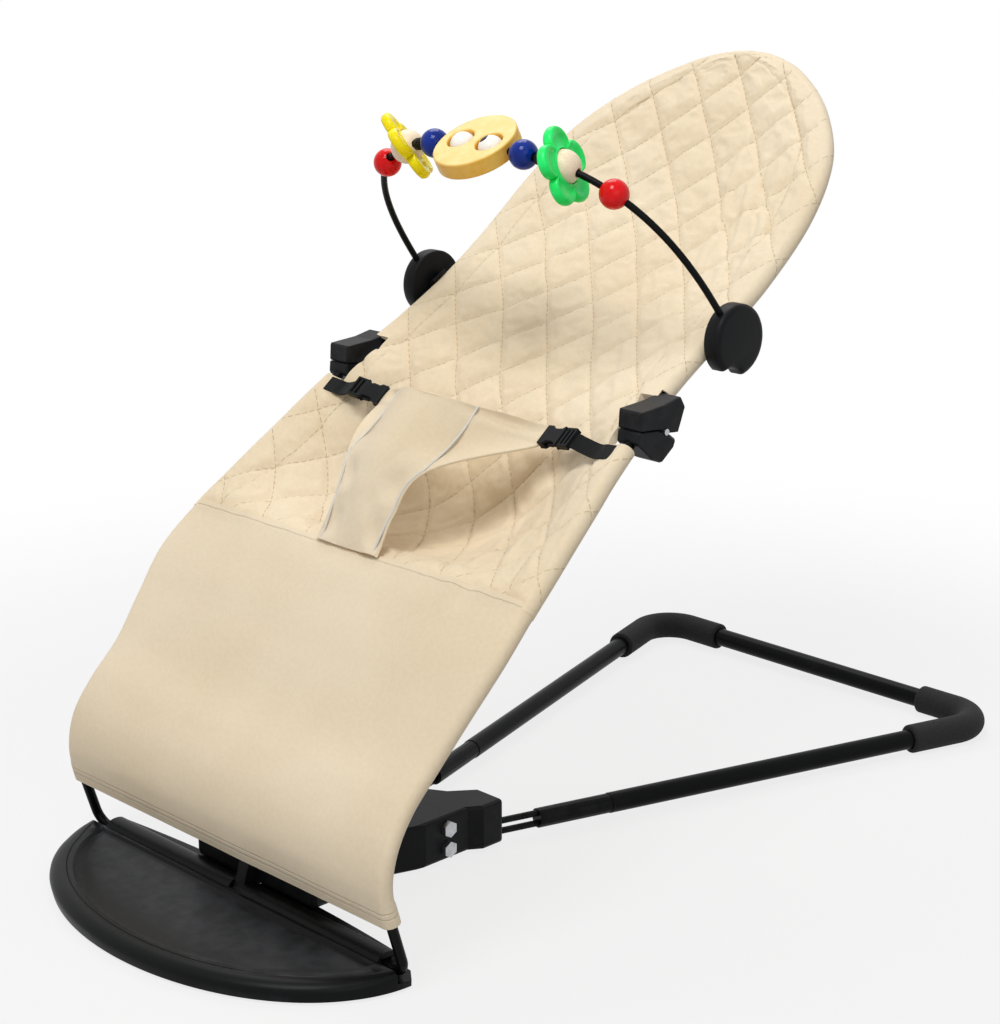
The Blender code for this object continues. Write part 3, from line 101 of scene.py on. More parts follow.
def makeStage():
    look = stageLook
    white = toLinear(look["roomColour"])
    scene.world = bpy.data.worlds.new("studio")
    scene.world.use_nodes = True
    tree = scene.world.node_tree
    tree.nodes.clear()
    room = addNode(tree, "Background", {"Color": white, "Strength": look["roomStrength"]})
    backdrop = addNode(tree, "Background", {"Color": white, "Strength": 1.0})
    mixed = addNode(tree, "MixShader", {0: seenDirectly(tree), 1: room.outputs[0], 2: backdrop.outputs[0]})
    addNode(tree, "OutputWorld", {"Surface": mixed.outputs[0]})
    paint, tree, shader = startFinish("pale_floor", look["floorColour"], 0.9, Specular_IOR_Level=0.1)
    place = addNode(tree, "NewGeometry").outputs["Position"]
    away = addNode(tree, "VectorMath", {0: place}, operation="LENGTH").outputs["Value"]
    # The floor turns to plain white away from the bouncer
    paler = addNode(tree, "MapRange", {"Value": away, "From Min": look["fadeStart"],
                                       "From Max": look["fadeEnd"], "To Min": look["glow"], "To Max": 1.0},
                    interpolation_type="SMOOTHSTEP")
    plain = addNode(tree, "Emission", {"Color": white, "Strength": 1.0})
    seen = addNode(tree, "Math", {0: paler.outputs["Result"], 1: seenDirectly(tree)}, operation="MULTIPLY")
    bright = addNode(tree, "MixShader", {0: seen.outputs[0], 1: shader.outputs[0], 2: plain.outputs[0]})
    tree.links.new(bright.outputs[0], tree.nodes["Material Output"].inputs["Surface"])
    half = look["floorSize"] / 2
    corners = [(-half, -half, 0), (half, -half, 0), (half, half, 0), (-half, half, 0)]
    floorMesh = bpy.data.meshes.new("floor")
    floorMesh.from_pydata(corners, [], [(0, 1, 2, 3)])
    floorMesh.materials.append(paint)
    floor = addObject("floor", floorMesh)
    floor.location.z = -look["floorDrop"]


# Softboxes: place, aimed at, width, watts
softboxes = dict(
    key=((0.5, -1.5, 3.0), (0.0, -0.1, 0.3), 1.2, 52.0),
    fill=((2.4, -1.2, 1.5), (0.0, 0.0, 0.3), 1.6, 8.0),
    top=((-1.2, 0.9, 2.6), (0.0, 0.0, 0.3), 1.4, 24.0),
)


def makeLamps():
    for name, (place, target, width, watts) in softboxes.items():
        lampData = bpy.data.lights.new(name, "AREA")
        lampData.shape = "SQUARE"
        lampData.size = width
        lampData.energy = watts
        lamp = addObject(name, lampData)
        lamp.location = place
        lamp.rotation_euler = (Vector(target) - Vector(place)).to_track_quat("-Z", "Y").to_euler()


# Finishes

def startFinish(name, colour, roughness, **sockets):
    finish = bpy.data.materials.new(name)
    finish.use_nodes = True
    tree = finish.node_tree
    shader = tree.nodes["Principled BSDF"]
    shader.inputs["Base Color"].default_value = toLinear(colour)
    shader.inputs["Roughness"].default_value = roughness
    for socket, value in sockets.items():
        shader.inputs[socket.replace("_", " ")].default_value = value
    return finish, tree, shader


def tint(tree, shader, share, darker, lighter):         # colours the surface between two tones
    mixed = addNode(tree, "MixRGB", {"Fac": share, "Color1": toLinear(darker), "Color2": toLinear(lighter)})
    tree.links.new(mixed.outputs["Color"], shader.inputs["Base Color"])
    return mixed


def relief(tree, shader, height):       # height in metres
    bump = addNode(tree, "Bump", {"Height": height, "Distance": 1.0})
    tree.links.new(bump.outputs["Normal"], shader.inputs["Normal"])


def uneven(tree, size, low, high, detail=3.0):          # cloudy patches of a size in metres, from low to high
    place = addNode(tree, "TexCoord").outputs["Object"]
    cloud = addNode(tree, "TexNoise", {"Vector": place, "Scale": 1 / size, "Detail": detail}).outputs["Fac"]
    return addNode(tree, "MapRange", {"Value": cloud, "From Min": 0.35, "From Max": 0.65,
                                      "To Min": low, "To Max": high}).outputs["Result"]


def stack(tree, *layers):       # adds patterns up, each by its share or its depth
    result = 0.0
    for pattern, share in layers:
        result = addNode(tree, "Math", {0: pattern, 1: share, 2: result}, operation="MULTIPLY_ADD").outputs[0]
    return result


def bands(tree, place, period, way, wobble=0.0):        # parallel ribs, period metres apart
    scale = math.tau / 20 / period      # a band wave repeats each tau / (20 * scale) metres
    return addNode(tree, "TexWave", {"Vector": place, "Scale": scale, "Distortion": wobble},
                   bands_direction=way).outputs["Fac"]


def dashes(tree, run, step):            # 1 along each sewn stitch, 0 in the gaps between
    wrapped = addNode(tree, "Math", {0: run, 1: step}, operation="PINGPONG").outputs[0]
    return addNode(tree, "MapRange", {"Value": wrapped, "From Min": 0.25 * step,
                                      "From Max": 0.45 * step}).outputs["Result"]


def ridge(tree, away, width):           # 1 on a line, falling to 0 at width beside it
    return addNode(tree, "MapRange", {"Value": away, "From Min": 0.0, "From Max": width, "To Min": 1.0,
                                      "To Max": 0.0}, interpolation_type="SMOOTHSTEP").outputs["Result"]


def distanceTo(tree, value, line):
    off = addNode(tree, "Math", {0: value, 1: line}, operation="SUBTRACT").outputs[0]
    return addNode(tree, "Math", {0: off}, operation="ABSOLUTE").outputs[0]


# Cotton poplin, plain woven and washed: dull, soft at folds, with thicker threads here and there and small
# creases. Its threads lie 0.3 mm apart, too fine to show here, so they are drawn 0.7 mm apart.
cotton = dict(dark="#DECAA9", light="#EBDBC0", quiltDark="#DFCBA9", quiltLight="#EEDEC2", roughness=0.86,
              thread=0.0007, threadHeight=0.00008, threadShare=0.18, slub=0.0035, cloud=0.16, crease=0.022,
              creaseHeight=0.00018, hemDent=0.0006, hemDentWidth=0.0011, threadAndValleyShade="#BDA27A", seamShare=0.9,
              seamThreadHeight=0.0003)


def stitching(tree, run):       # sewn thread along the quilting's crossing lines and the edge seams
    lattice = addNode(tree, "Attribute", attribute_name="lattice").outputs[0]
    place = addNode(tree, "SeparateXYZ", {0: lattice}).outputs
    onLine = ridge(tree, distanceTo(tree, place["Z"], quilt["edgeSeam"]), quilt["threadWidth"])
    sewn = dashes(tree, run, quilt["stitch"])
    stitch = addNode(tree, "Math", {0: onLine, 1: sewn}, operation="MULTIPLY").outputs[0]
    for line, along in ((0, 1), (1, 0)):
        away = addNode(tree, "Math", {0: place[line], 1: 0.5}, operation="PINGPONG").outputs[0]
        sewn = dashes(tree, place[along], quilt["stitch"] / quilt["sideLength"])
        onLine = ridge(tree, away, quilt["threadWidth"] / quilt["lineGap"])
        sewn = addNode(tree, "Math", {0: onLine, 1: sewn}, operation="MULTIPLY").outputs[0]
        stitch = addNode(tree, "Math", {0: stitch, 1: sewn}, operation="MAXIMUM").outputs[0]
    return stitch


def cottonFinish(name, dark, light, stitched=False, hemLines=()):
    look = cotton
    finish, tree, shader = startFinish(name, light, look["roughness"], Sheen_Weight=0.25, Sheen_Roughness=0.5,
                                       Specular_IOR_Level=0.25)
    place = addNode(tree, "Attribute", attribute_name="weft").outputs["Vector"]
    run = addNode(tree, "SeparateXYZ", {0: place}).outputs["Y"]
    warp, weft = (bands(tree, place, look["thread"], way) for way in "XY")
    threads = addNode(tree, "Math", {0: warp, 1: weft}, operation="MAXIMUM").outputs[0]
    share = stack(tree, (threads, look["threadShare"]), (uneven(tree, look["cloud"], 0.15, 0.65, 2.0), 1.0),
                  (uneven(tree, look["slub"], -0.12, 0.12, 4.0), 1.0))
    cloth = tint(tree, shader, share, dark, light)
    creases = uneven(tree, look["crease"], 0.0, look["creaseHeight"])
    height = stack(tree, (threads, look["threadHeight"]), (creases, 1.0))
    if stitched:
        stitch = stitching(tree, run)
        shown = stack(tree, (stitch, look["seamShare"]))
        # The quilting thread is drawn darker than the cloth: partly the thread's own colour, partly painted
        # shade along the quilting's valleys
        sewn = addNode(tree, "MixRGB", {"Fac": shown, "Color1": cloth.outputs["Color"],
                                        "Color2": toLinear(look["threadAndValleyShade"])})
        tree.links.new(sewn.outputs["Color"], shader.inputs["Base Color"])
        height = stack(tree, (height, 1.0), (stitch, look["seamThreadHeight"]))
    for line in hemLines:
        dent = ridge(tree, distanceTo(tree, run, line), look["hemDentWidth"])
        height = stack(tree, (height, 1.0), (dent, -look["hemDent"]))
    relief(tree, shader, height)
    return finish


# Hard surfaces: how uneven their gloss is, and how much paler hands and floor rub the edges
hardSurface = dict(glossPatch=0.05, glossSpread=0.015, plainShare=0.02, edgeStart=0.53, edgeEnd=0.62,
                   rubPatch=0.011, rubLeast=0.2, rubShare=0.35)


def hardFinish(name, dark, light, roughness, patch, grain, depth, rubbed=False, **sockets):
    look = hardSurface
    finish, tree, shader = startFinish(name, dark, roughness, **sockets)
    share = uneven(tree, patch, 0.0, look["plainShare"] if rubbed else 1.0)
    if rubbed:
        point = addNode(tree, "NewGeometry").outputs["Pointiness"]
        edge = addNode(tree, "MapRange", {"Value": point, "From Min": look["edgeStart"],
                                          "From Max": look["edgeEnd"]}).outputs["Result"]
        worn = uneven(tree, look["rubPatch"], look["rubLeast"], 1.0, 6.0)
        scuffed = addNode(tree, "Math", {0: edge, 1: worn}, operation="MULTIPLY").outputs[0]
        share = stack(tree, (share, 1.0), (scuffed, look["rubShare"]))
    tint(tree, shader, share, dark, light)
    rough = uneven(tree, look["glossPatch"], roughness - look["glossSpread"], roughness + look["glossSpread"])
    tree.links.new(rough, shader.inputs["Roughness"])
    relief(tree, shader, uneven(tree, grain, 0.0, depth, 2.0))
    return finish


# Polypropylene, moulded against a spark-eroded wall: satin black with a fine grain, paler where it is rubbed.
mouldedPolypropylene = hardFinish("moulded_polypropylene", "#0C0D0E", "#3C3D41", 0.36, patch=0.03,
                                  grain=0.0009, depth=0.00002, rubbed=True, Specular_IOR_Level=0.09)
# Nylon, moulded: a denser and slightly duller black, for what has to be tough.
mouldedNylon = hardFinish("moulded_nylon", "#101113", "#3C3D40", 0.42, patch=0.03, grain=0.0007,
                          depth=0.000012, rubbed=True, Specular_IOR_Level=0.10)
# Spring steel, powder coated: black, with a faint orange peel that breaks the highlight along the wire.
powderCoat = hardFinish("powder_coated_steel", "#0B0C0D", "#3A3B3E", 0.34, patch=0.03, grain=0.0008,
                        depth=0.000015, rubbed=True, Specular_IOR_Level=0.07)
# Steel, zinc plated: bright grey with soft, cloudy reflections.
zincSteel = hardFinish("zinc_plated_steel", "#AEB0B4", "#C2C3C6", 0.32, patch=0.006, grain=0.002,
                       depth=0.000006, Metallic=1.0)
# Beech, turned and sprayed with coloured lacquer: a deep colour under a clear, smooth coat, duller on the
# disc. Each has its two tones and its roughness.
lacquers = dict(
    red=("red_lacquered_beech", "#D60207", "#E60C12", 0.12),
    blue=("blue_lacquered_beech", "#06237A", "#0D3092", 0.12),
    white=("white_lacquered_beech", "#F4F1E8", "#FBFAF5", 0.12),
    black=("black_lacquer_spot", "#101012", "#1B1B1E", 0.12),
    yellow=("pale_yellow_lacquer", "#E8C976", "#EED38B", 0.40),
    # The disc's rim and hole walls: a darker, deeper copy of its pale yellow lacquer, as painted shade
    paintedShadeYellow=("yellow_lacquer_painted_shade_edge", "#F0B548", "#F5C25E", 0.35),
)
coat = dict(patch=0.012, grain=0.004, depth=0.000015, Specular_IOR_Level=0.12, Coat_Weight=0.12,
            Coat_Roughness=0.06)
lacquer = {colour: hardFinish(*tones, **coat) for colour, tones in lacquers.items()}
# Polypropylene, moulded in a polished mould: strong colour, a little light gets in, with shallow ripples.
polish = dict(patch=0.02, grain=0.006, depth=0.000036, Specular_IOR_Level=0.15, Coat_Weight=0.07,
              Coat_Roughness=0.1, Subsurface_Weight=0.15)
greenPlastic = hardFinish("green_polypropylene", "#0EDE58", "#28F87A", 0.25, **polish)
yellowPlastic = hardFinish("yellow_polypropylene", "#F0D800", "#FAE60C", 0.25, **polish)


# Beech, turned and sanded, bare: pale, with short flecks of grain along the bore, and fine pores
bareBeech = dict(stretch=(1.0, 6.0, 6.0), flecks=90.0, pores=420.0, fleckShare=2.0, poreShare=0.6,
                 darkShare=0.8, poreDepth=0.00003)


def beechFinish():
    look = bareBeech
    finish, tree, shader = startFinish("sanded_beech", "#F0DCBC", 0.45)
    place = addNode(tree, "Mapping", {"Vector": addNode(tree, "TexCoord").outputs["Object"],
                                      "Scale": look["stretch"]}).outputs["Vector"]
    noises = [addNode(tree, "TexNoise", {"Vector": place, "Scale": size, "Detail": detail})
              for size, detail in ((look["flecks"], 5.0), (look["pores"], 3.0))]
    flecks, pores = (node.outputs["Fac"] for node in noises)
    share = stack(tree, (flecks, look["fleckShare"]), (pores, look["poreShare"]), (look["darkShare"], -1.0))
    tint(tree, shader, share, "#EBD3AE", "#F7E6CC")
    relief(tree, shader, stack(tree, (pores, look["poreDepth"])))
    return finish


# Nitrile foam, extruded: matt charcoal, closed cells of about 1 mm
foamCells = dict(scale=900.0, depth=0.00025)


def foamFinish():
    finish, tree, shader = startFinish("nitrile_foam", "#141415", 0.85, Specular_IOR_Level=0.3)
    cells = addNode(tree, "TexVoronoi", {"Vector": addNode(tree, "TexCoord").outputs["Object"],
                                         "Scale": foamCells["scale"]}).outputs["Distance"]
    tint(tree, shader, cells, "#2A2A2C", "#161617")
    relief(tree, shader, stack(tree, (cells, foamCells["depth"])))
    return finish


def wovenFinish(name, dark, light, roughness, ribPitch, rowPitch, depth, sheen):
    finish, tree, shader = startFinish(name, light, roughness, Sheen_Weight=sheen, Specular_IOR_Level=0.15)
    place = addNode(tree, "Attribute", attribute_name="weft").outputs["Vector"]
    ribs = bands(tree, place, ribPitch, "Y", 0.4)
    rows = bands(tree, place, rowPitch, "X", 0.3)
    knit = addNode(tree, "Math", {0: ribs, 1: rows}, operation="MULTIPLY").outputs[0]
    tint(tree, shader, knit, dark, light)
    relief(tree, shader, stack(tree, (knit, depth)))
    return finish


beech = beechFinish()
foam = foamFinish()
# Polyester webbing, woven 15 mm wide: dull black, ribs across it 1.1 mm apart.
webbing = wovenFinish("woven_polyester_webbing", "#08090A", "#1B1C1E", 0.72, ribPitch=0.0011, rowPitch=0.0016,
                      depth=0.00025, sheen=0.04)
# Cotton piping, folded over a cord: off-white, its threads drawn 0.9 mm apart so that they show.
piping = wovenFinish("woven_cotton_piping", "#D2CDC3", "#F1EEE8", 0.85, ribPitch=0.0009, rowPitch=0.0013,
                     depth=0.00015, sheen=0.1)

makeStage()
makeLamps()
print("stage, lamps and finishes ready")


# The seat wire's course: half width, distance behind the hinge line, height, sag of the cloth

hingeY = -0.3245
wireRadius = 0.0044
seatCourse = [
    (0.2035, -0.0185, 0.0600, 0.000), (0.2025, -0.0250, 0.0900, 0.000), (0.2020, -0.0190, 0.1200, 0.002),
    (0.2000, 0.0000, 0.1480, 0.004), (0.2000, 0.0280, 0.1760, 0.005), (0.2050, 0.0570, 0.2110, 0.004),
    (0.2100, 0.0880, 0.2470, 0.002), (0.2060, 0.1250, 0.2790, 0.000), (0.2020, 0.1500, 0.2975, 0.030),
    (0.1970, 0.1800, 0.3200, 0.056), (0.1915, 0.2110, 0.3425, 0.066), (0.1865, 0.2400, 0.3640, 0.056),
    (0.1795, 0.2850, 0.3940, 0.032), (0.1700, 0.3300, 0.4190, 0.024), (0.1667, 0.3910, 0.4540, 0.020),
    (0.1675, 0.4500, 0.4930, 0.020), (0.1647, 0.5090, 0.5410, 0.020), (0.1490, 0.5560, 0.5850, 0.017),
    (0.1130, 0.5930, 0.6200, 0.011), (0.0700, 0.6190, 0.6440, 0.006), (0.0350, 0.6305, 0.6560, 0.002),
    (0.0000, 0.6345, 0.6600, 0.000), (-0.0350, 0.6305, 0.6560, 0.002),
]
crest = 7               # the station where the leg cover meets the quilt
jointPlace = 12         # where the side connectors join the wires
archStart = 16          # where the head's arch begins
headPlace = 21


def between(stations, place):       # a smooth curve through the stations, place counted in stations
    last = len(stations) - 1
    index = min(int(place), last - 1)
    t = place - index
    a, b, c, d = [Vector(stations[min(max(index + step, 0), last)]) for step in (-1, 0, 1, 2)]
    square, cube = 2 * a - 5 * b + 4 * c - d, 3 * b - a - 3 * c + d
    return 0.5 * (2 * b + (c - a) * t + square * t ** 2 + cube * t ** 3)


def courseAt(place):        # the wire's middle, the cloth's front and outward directions there, and its sag
    w, y, z, sag = between(seatCourse, place)
    tangent = (between(seatCourse, place + 0.02) - between(seatCourse, max(place - 0.02, 0))).xyz
    slope = math.atan2(tangent.z, tangent.y)
    if place > archStart:
        slope = math.atan2(seatCourse[headPlace][2] - seatCourse[archStart][2],
                           seatCourse[headPlace][1] - seatCourse[archStart][1])
    front = Vector((0.0, -math.sin(slope), math.cos(slope)))
    return Vector((w, hingeY + y, z)), front, tangent.cross(front).normalized(), sag


def placesAlong(first, last, step, samples=1200):       # places an equal length apart
    fine = [first + (last - first) * i / samples for i in range(samples + 1)]
    spots = [courseAt(place)[0] for place in fine]
    runs = [0.0]
    for a, b in zip(spots, spots[1:]):
        runs.append(runs[-1] + (b - a).length)
    count = max(2, round(runs[-1] / step))
    places = []
    index = 0
    for i in range(count + 1):
        wanted = runs[-1] * i / count
        while index < len(runs) - 2 and runs[index + 1] < wanted:
            index += 1
        share = (wanted - runs[index]) / max(runs[index + 1] - runs[index], 1e-9)
        places.append(fine[index] + (fine[index + 1] - fine[index]) * min(share, 1.0))
    return places


def stationLength(step=0.001):          # metres from one station to the next at the crest
    return step * (len(placesAlong(crest - 0.5, crest + 0.5, step)) - 1)


def clothRow(place, reach):         # where the cloth leaves the wire's side at a place
    centre, front, outward, sag = courseAt(place)
    tuck = 0.0
    half = centre.x
    for _ in range(6):
        tuck = math.atan2(2 * sag, half) if half > 0.001 else 0.0
        half = centre.x - reach * math.sin(tuck) * outward.x
    edge = centre + reach * (math.cos(tuck) * front - math.sin(tuck) * outward)
    return centre, front, outward, sag, tuck, edge


def panelSpot(row, x):              # a spot on the sagging panel between the wires
    centre, front, outward, sag, tuck, edge = row
    share = min(1.0, abs(x) / max(edge.x, 0.001))
    return Vector((x, edge.y, edge.z)) - front * sag * (1 - share ** 2)


bothSides = (("left", 1), ("right", -1))


def mirrored(spot):
    return Vector((-spot.x, spot.y, spot.z))


def ramp(value, start, length):         # rises from 0 to 1 over the length
    return min(1.0, max(0.0, (value - start) / length))


def fade(distance, reach):          # falls from 1 to 0 over the reach
    return max(0.0, 1 - distance / reach)


# Making pieces

def addPiece(name, verts, faces, finish, body=None, layers=None):
    mesh = bpy.data.meshes.new(name)
    mesh.from_pydata([tuple(v) for v in verts], [], faces)
    form = bmesh.new()
    form.from_mesh(mesh)
    bmesh.ops.recalc_face_normals(form, faces=form.faces)
    form.to_mesh(mesh)
    form.free()
    for layer, values in (layers or {}).items():
        attribute = mesh.attributes.new(layer, "FLOAT_VECTOR", "POINT")
        attribute.data.foreach_set("vector", [c for value in values for c in value])
    mesh.materials.append(finish)
    mesh.shade_smooth()
    piece = addObject(name, mesh)
    if body:
        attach(piece, body)
    return piece


def standsFor(piece, node):       # hides the plain solid that the piece replaces
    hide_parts(node)


def sweep(points, profile):         # the profile at each point, carried along without twist
    rings = []
    last = len(points) - 1
    up = None
    for i, spot in enumerate(points):
        ahead = (points[min(i + 1, last)] - points[max(i - 1, 0)]).normalized()
        if up is None:
            up = Vector((0, 0, 1)) if abs(ahead.z) < 0.95 else Vector((0, 1, 0))
        up = (up - ahead * ahead.dot(up)).normalized()
        across = ahead.cross(up)
        rings.append([spot + across * a + up * b for a, b in profile])
    return rings


def skin(rings, closed=False, caps=True):       # faces between rings of equal size
    verts = [spot for ring in rings for spot in ring]
    size = len(rings[0])
    faces = []
    for r in range(len(rings) if closed else len(rings) - 1):
        low, high = r * size, ((r + 1) % len(rings)) * size
        faces.extend((low + i, low + (i + 1) % size, high + (i + 1) % size, high + i) for i in range(size))
    if caps and not closed:
        faces.append(tuple(range(size))[::-1])
        faces.append(tuple(range(len(verts) - size, len(verts))))
    return verts, faces


def circle(radius, sides):
    turns = [math.tau * i / sides for i in range(sides)]
    return [(radius * math.cos(turn), radius * math.sin(turn)) for turn in turns]


def roundedCorners(corners, radius, steps, spacing):    # a path through corners, each bent to a radius
    corners = [Vector(c) for c in corners]
    path = [corners[0]]
    for before, corner, after in zip(corners, corners[1:], corners[2:]):
        back, ahead = (before - corner).normalized(), (after - corner).normalized()
        half = back.angle(ahead) / 2
        centre = corner + (back + ahead).normalized() * (radius / math.sin(half))
        reach = radius / math.tan(half)
        first = (corner + back * reach - centre).normalized()
        last = (corner + ahead * reach - centre).normalized()
        path.extend(centre + first.slerp(last, i / steps) * radius for i in range(steps + 1))
    path.append(corners[-1])
    finer = [path[0]]
    for a, b in zip(path, path[1:]):
        parts = max(1, round((b - a).length / spacing))
        finer.extend(a.lerp(b, i / parts) for i in range(1, parts + 1))
    return finer


def keepSharp(piece, angle):
    piece.data.set_sharp_from_angle(angle=math.radians(angle))


def easeEdges(piece, angle, width, segments=2):         # edges sharper than angle are rounded
    edge = piece.modifiers.new("edge", "BEVEL")
    edge.width = width
    edge.segments = segments
    edge.limit_method = "ANGLE"
    edge.angle_limit = math.radians(angle)
    keepSharp(piece, angle)


def tubePiece(name, points, radius, finish, body, sides):
    rings = sweep(points, circle(radius, sides))
    verts, faces = skin(rings)
    run = 0.0
    values = []
    for i in range(len(rings)):
        run += (points[i] - points[i - 1]).length if i else 0.0
        values.extend((math.tau * radius * k / sides, run, 0.0) for k in range(sides))
    piece = addPiece(name, verts, faces, finish, body, layers={"weft": values})
    keepSharp(piece, 40)
    return piece


# Cloth

legCover = dict(hemStart=0.06, thickness=0.0011, reach=0.0068, rowStep=0.0050, columns=56, tunnelSeam=0.024,
                hemWidth=0.017, hemExtra=0.0007, hemLines=(0.0085, 0.0135), overlap=0.0040, overReach=0.0016,
                overRun=0.012, wrinkle=0.0006, wrinkleSize=0.07, wireWave=0.021, wirePull=0.05, gather=0.0055,
                gatherReach=0.042, gatherSize=0.016, crotch=0.13, edgeExtra=0.0006, edgeWidth=0.0090,
                foldEdge=0.0008)
quilt = dict(halfWidth=0.0285, halfLength=0.0345, thickness=0.0015, puff=0.0042, backPuff=0.0016,
             reach=0.0073, rowStep=0.0027, columns=138, tunnelSeam=0.027, seamStart=-0.0030, headGap=0.003,
             stitch=0.0034, threadWidth=0.0006, drift=0.0026, driftSize=0.06, steepness=5.0, edgeRise=0.012,
             hemStart=0.008, pucker=0.0009, puckerSize=0.006, fold=0.0022, foldSize=0.075, foldEdge=0.015,
             gatherSize=0.011, gatherRun=0.045, tuckStart=0.004, tuckUnder=0.0020, tuckRun=0.0080,
             edgeSeam=0.0235, seamDent=0.0012, seamDentWidth=0.0028, strapRun=0.165, strapReach=0.016,
             strapFrom=0.125)
# Long folds where the cloth is pulled: from run, x there, to run, height, half width
quilt["pulls"] = [(0.360, 0.132, 0.565, 0.0044, 0.0045), (0.345, 0.108, 0.585, 0.0038, 0.0040),
                  (0.375, 0.152, 0.540, 0.0034, 0.0040), (0.330, -0.060, 0.500, 0.0024, 0.0045),
                  (0.020, 0.120, 0.110, 0.0030, 0.0040), (0.025, 0.150, 0.120, 0.0028, 0.0035),
                  (0.020, -0.090, 0.110, 0.0024, 0.0040)]
quilt["sideLength"] = math.hypot(quilt["halfWidth"], quilt["halfLength"])
quilt["lineGap"] = 2 * quilt["halfWidth"] * quilt["halfLength"] / quilt["sideLength"]
cutOut = dict(low=-0.0275, high=0.0420, panelHigh=0.0335, columns=5, overlap=2)

sleeve = dict(steps=14, around=212.0, seamDrop=0.0022, headDrop=0.0060, headHalf=0.09, seamSteps=(0.35, 0.7),
              weftStep=0.002)


def tunnelSpots(row, reach, seamIn):        # the sleeve round the wire, from its inner seam
    centre, front, outward, sag, tuck, edge = row
    inset = max(0.0, 1 - seamIn / max(centre.x, 0.03))
    depth = reach * math.cos(tuck) - sag * (1 - inset ** 2) - sleeve["seamDrop"]
    depth -= sleeve["headDrop"] * fade(centre.x, sleeve["headHalf"])
    seam = centre - outward * seamIn + front * depth
    ring = []
    for step in range(sleeve["steps"] + 1):
        share = step / sleeve["steps"]
        angle = math.radians(sleeve["around"]) * (1 - share) - tuck * step / sleeve["steps"]
        ring.append(centre + reach * (math.cos(angle) * front + math.sin(angle) * outward))
    return [seam, *(seam.lerp(ring[0], share) for share in sleeve["seamSteps"]), *ring]


def ripple(x, y, size, seed=0.0):
    return noise.noise(Vector((x / size, y / size, seed)))


def latticeAt(x, run):      # whole numbers on the two families of quilting lines, which drift a little
    wobbleX = x + quilt["drift"] * ripple(x, run, quilt["driftSize"], 1.3)
    wobbleRun = run + quilt["drift"] * ripple(x, run, quilt["driftSize"], 9.2)
    p, q = wobbleX / quilt["halfWidth"], wobbleRun / quilt["halfLength"]
    return (p + q) / 2, (p - q) / 2


def clothGrid(rows, look, shape):       # rows of spots from one sleeve across the panel to the other
    grid, info = [], []
    for run, row in rows:
        side = tunnelSpots(row, look["reach"], look["tunnelSeam"])
        half = side[-1].x
        line = list(side)
        facts = [(half + (len(side) - 1 - k) * sleeve["weftStep"], run, 0.0, 0.0) for k in range(len(side))]
        for column in range(1, look["columns"]):
            x = half * (1 - 2 * column / look["columns"])
            lift, puffed = shape(x, run, half)
            line.append(panelSpot(row, x) + row[1] * lift)
            facts.append((x, run, puffed, half - abs(x)))
        line.extend(mirrored(spot) for spot in reversed(side))
        facts.extend((-half - k * sleeve["weftStep"], run, 0.0, 0.0) for k in range(len(side)))
        grid.append(line)
        info.append(facts)
    return grid, info


def clothPiece(name, grid, info, look, finish, extra=None, hole=None, lattice=False):
    rowCount, columnCount = len(grid), len(grid[0])
    verts, weft, latticePlace = [], [], []
    for layer in (1, -1):
        for r in range(rowCount):
            for c in range(columnCount):
                along = grid[min(r + 1, rowCount - 1)][c] - grid[max(r - 1, 0)][c]
                across = grid[r][min(c + 1, columnCount - 1)] - grid[r][max(c - 1, 0)]
                out = along.cross(across)
                out = out.normalized() if out.length > 1e-12 else Vector((0, 0, 1))
                x, run, puffed, onPanel = info[r][c]
                depth = look["thickness"] / 2 + (extra(run) if extra else 0.0)
                depth += puffed * (look.get("puff", 0.0) if layer > 0 else look.get("backPuff", 0.0))
                verts.append(grid[r][c] + out * depth * layer)
                weft.append((x, run, 0.0))
                latticePlace.append((*latticeAt(x, run), onPanel))
    kept = {(r, c) for r in range(rowCount - 1) for c in range(columnCount - 1) if not (hole and hole(r, c))}
    back = rowCount * columnCount

    def at(r, c, layer=0):
        return r * columnCount + c + layer * back

    faces = []
    for r, c in sorted(kept):
        corners = ((r, c), (r, c + 1), (r + 1, c + 1), (r + 1, c))
        faces.append(tuple(at(*corner) for corner in corners))
        faces.append(tuple(at(*corner, 1) for corner in reversed(corners)))
        for a, neighbour in enumerate(((r - 1, c), (r, c + 1), (r + 1, c), (r, c - 1))):
            b = (a + 1) % 4
            if neighbour not in kept:
                faces.append((at(*corners[b]), at(*corners[a]), at(*corners[a], 1), at(*corners[b], 1)))
    layers = {"weft": weft}
    if lattice:
        layers["lattice"] = latticePlace
    piece = addPiece(name, verts, faces, finish, "seat", layers=layers)
    form = bmesh.new()
    form.from_mesh(piece.data)
    loose = [v for v in form.verts if not v.link_faces]
    bmesh.ops.delete(form, geom=loose, context="VERTS")
    form.to_mesh(piece.data)
    form.free()
    keepSharp(piece, 60)
    return piece


def legShape(x, run, half):         # small waves along the wires, gathers beside the crotch at the upper edge
    look = legCover
    pull = max(0.0, 1 - (half - abs(x)) / look["wirePull"])
    lift = look["wrinkle"] * ripple(x, run * 2.2, look["wrinkleSize"], 3.1) * (1 - 0.6 * pull)
    wave = math.sin(run / look["wireWave"] * math.tau)
    lift += 0.5 * look["wrinkle"] * pull * wave * ripple(run, 0.0, 0.05, 7.7)
    near = fade(look["length"] - run, look["gatherReach"]) ** 1.5
    gather = look["gather"] * near * (0.25 + ripple(x, run * 0.2, look["gatherSize"], 8.8))
    return lift + gather * min(1.0, abs(x) / look["crotch"]), 0.0


def legExtra(run):          # the cloth is double at its hem and its upper edge
    hem = ramp(legCover["hemWidth"] - run, 0.0, legCover["foldEdge"])
    fold = ramp(run - legCover["length"] + legCover["edgeWidth"], 0.0, legCover["foldEdge"])
    return legCover["hemExtra"] * hem + legCover["edgeExtra"] * fold


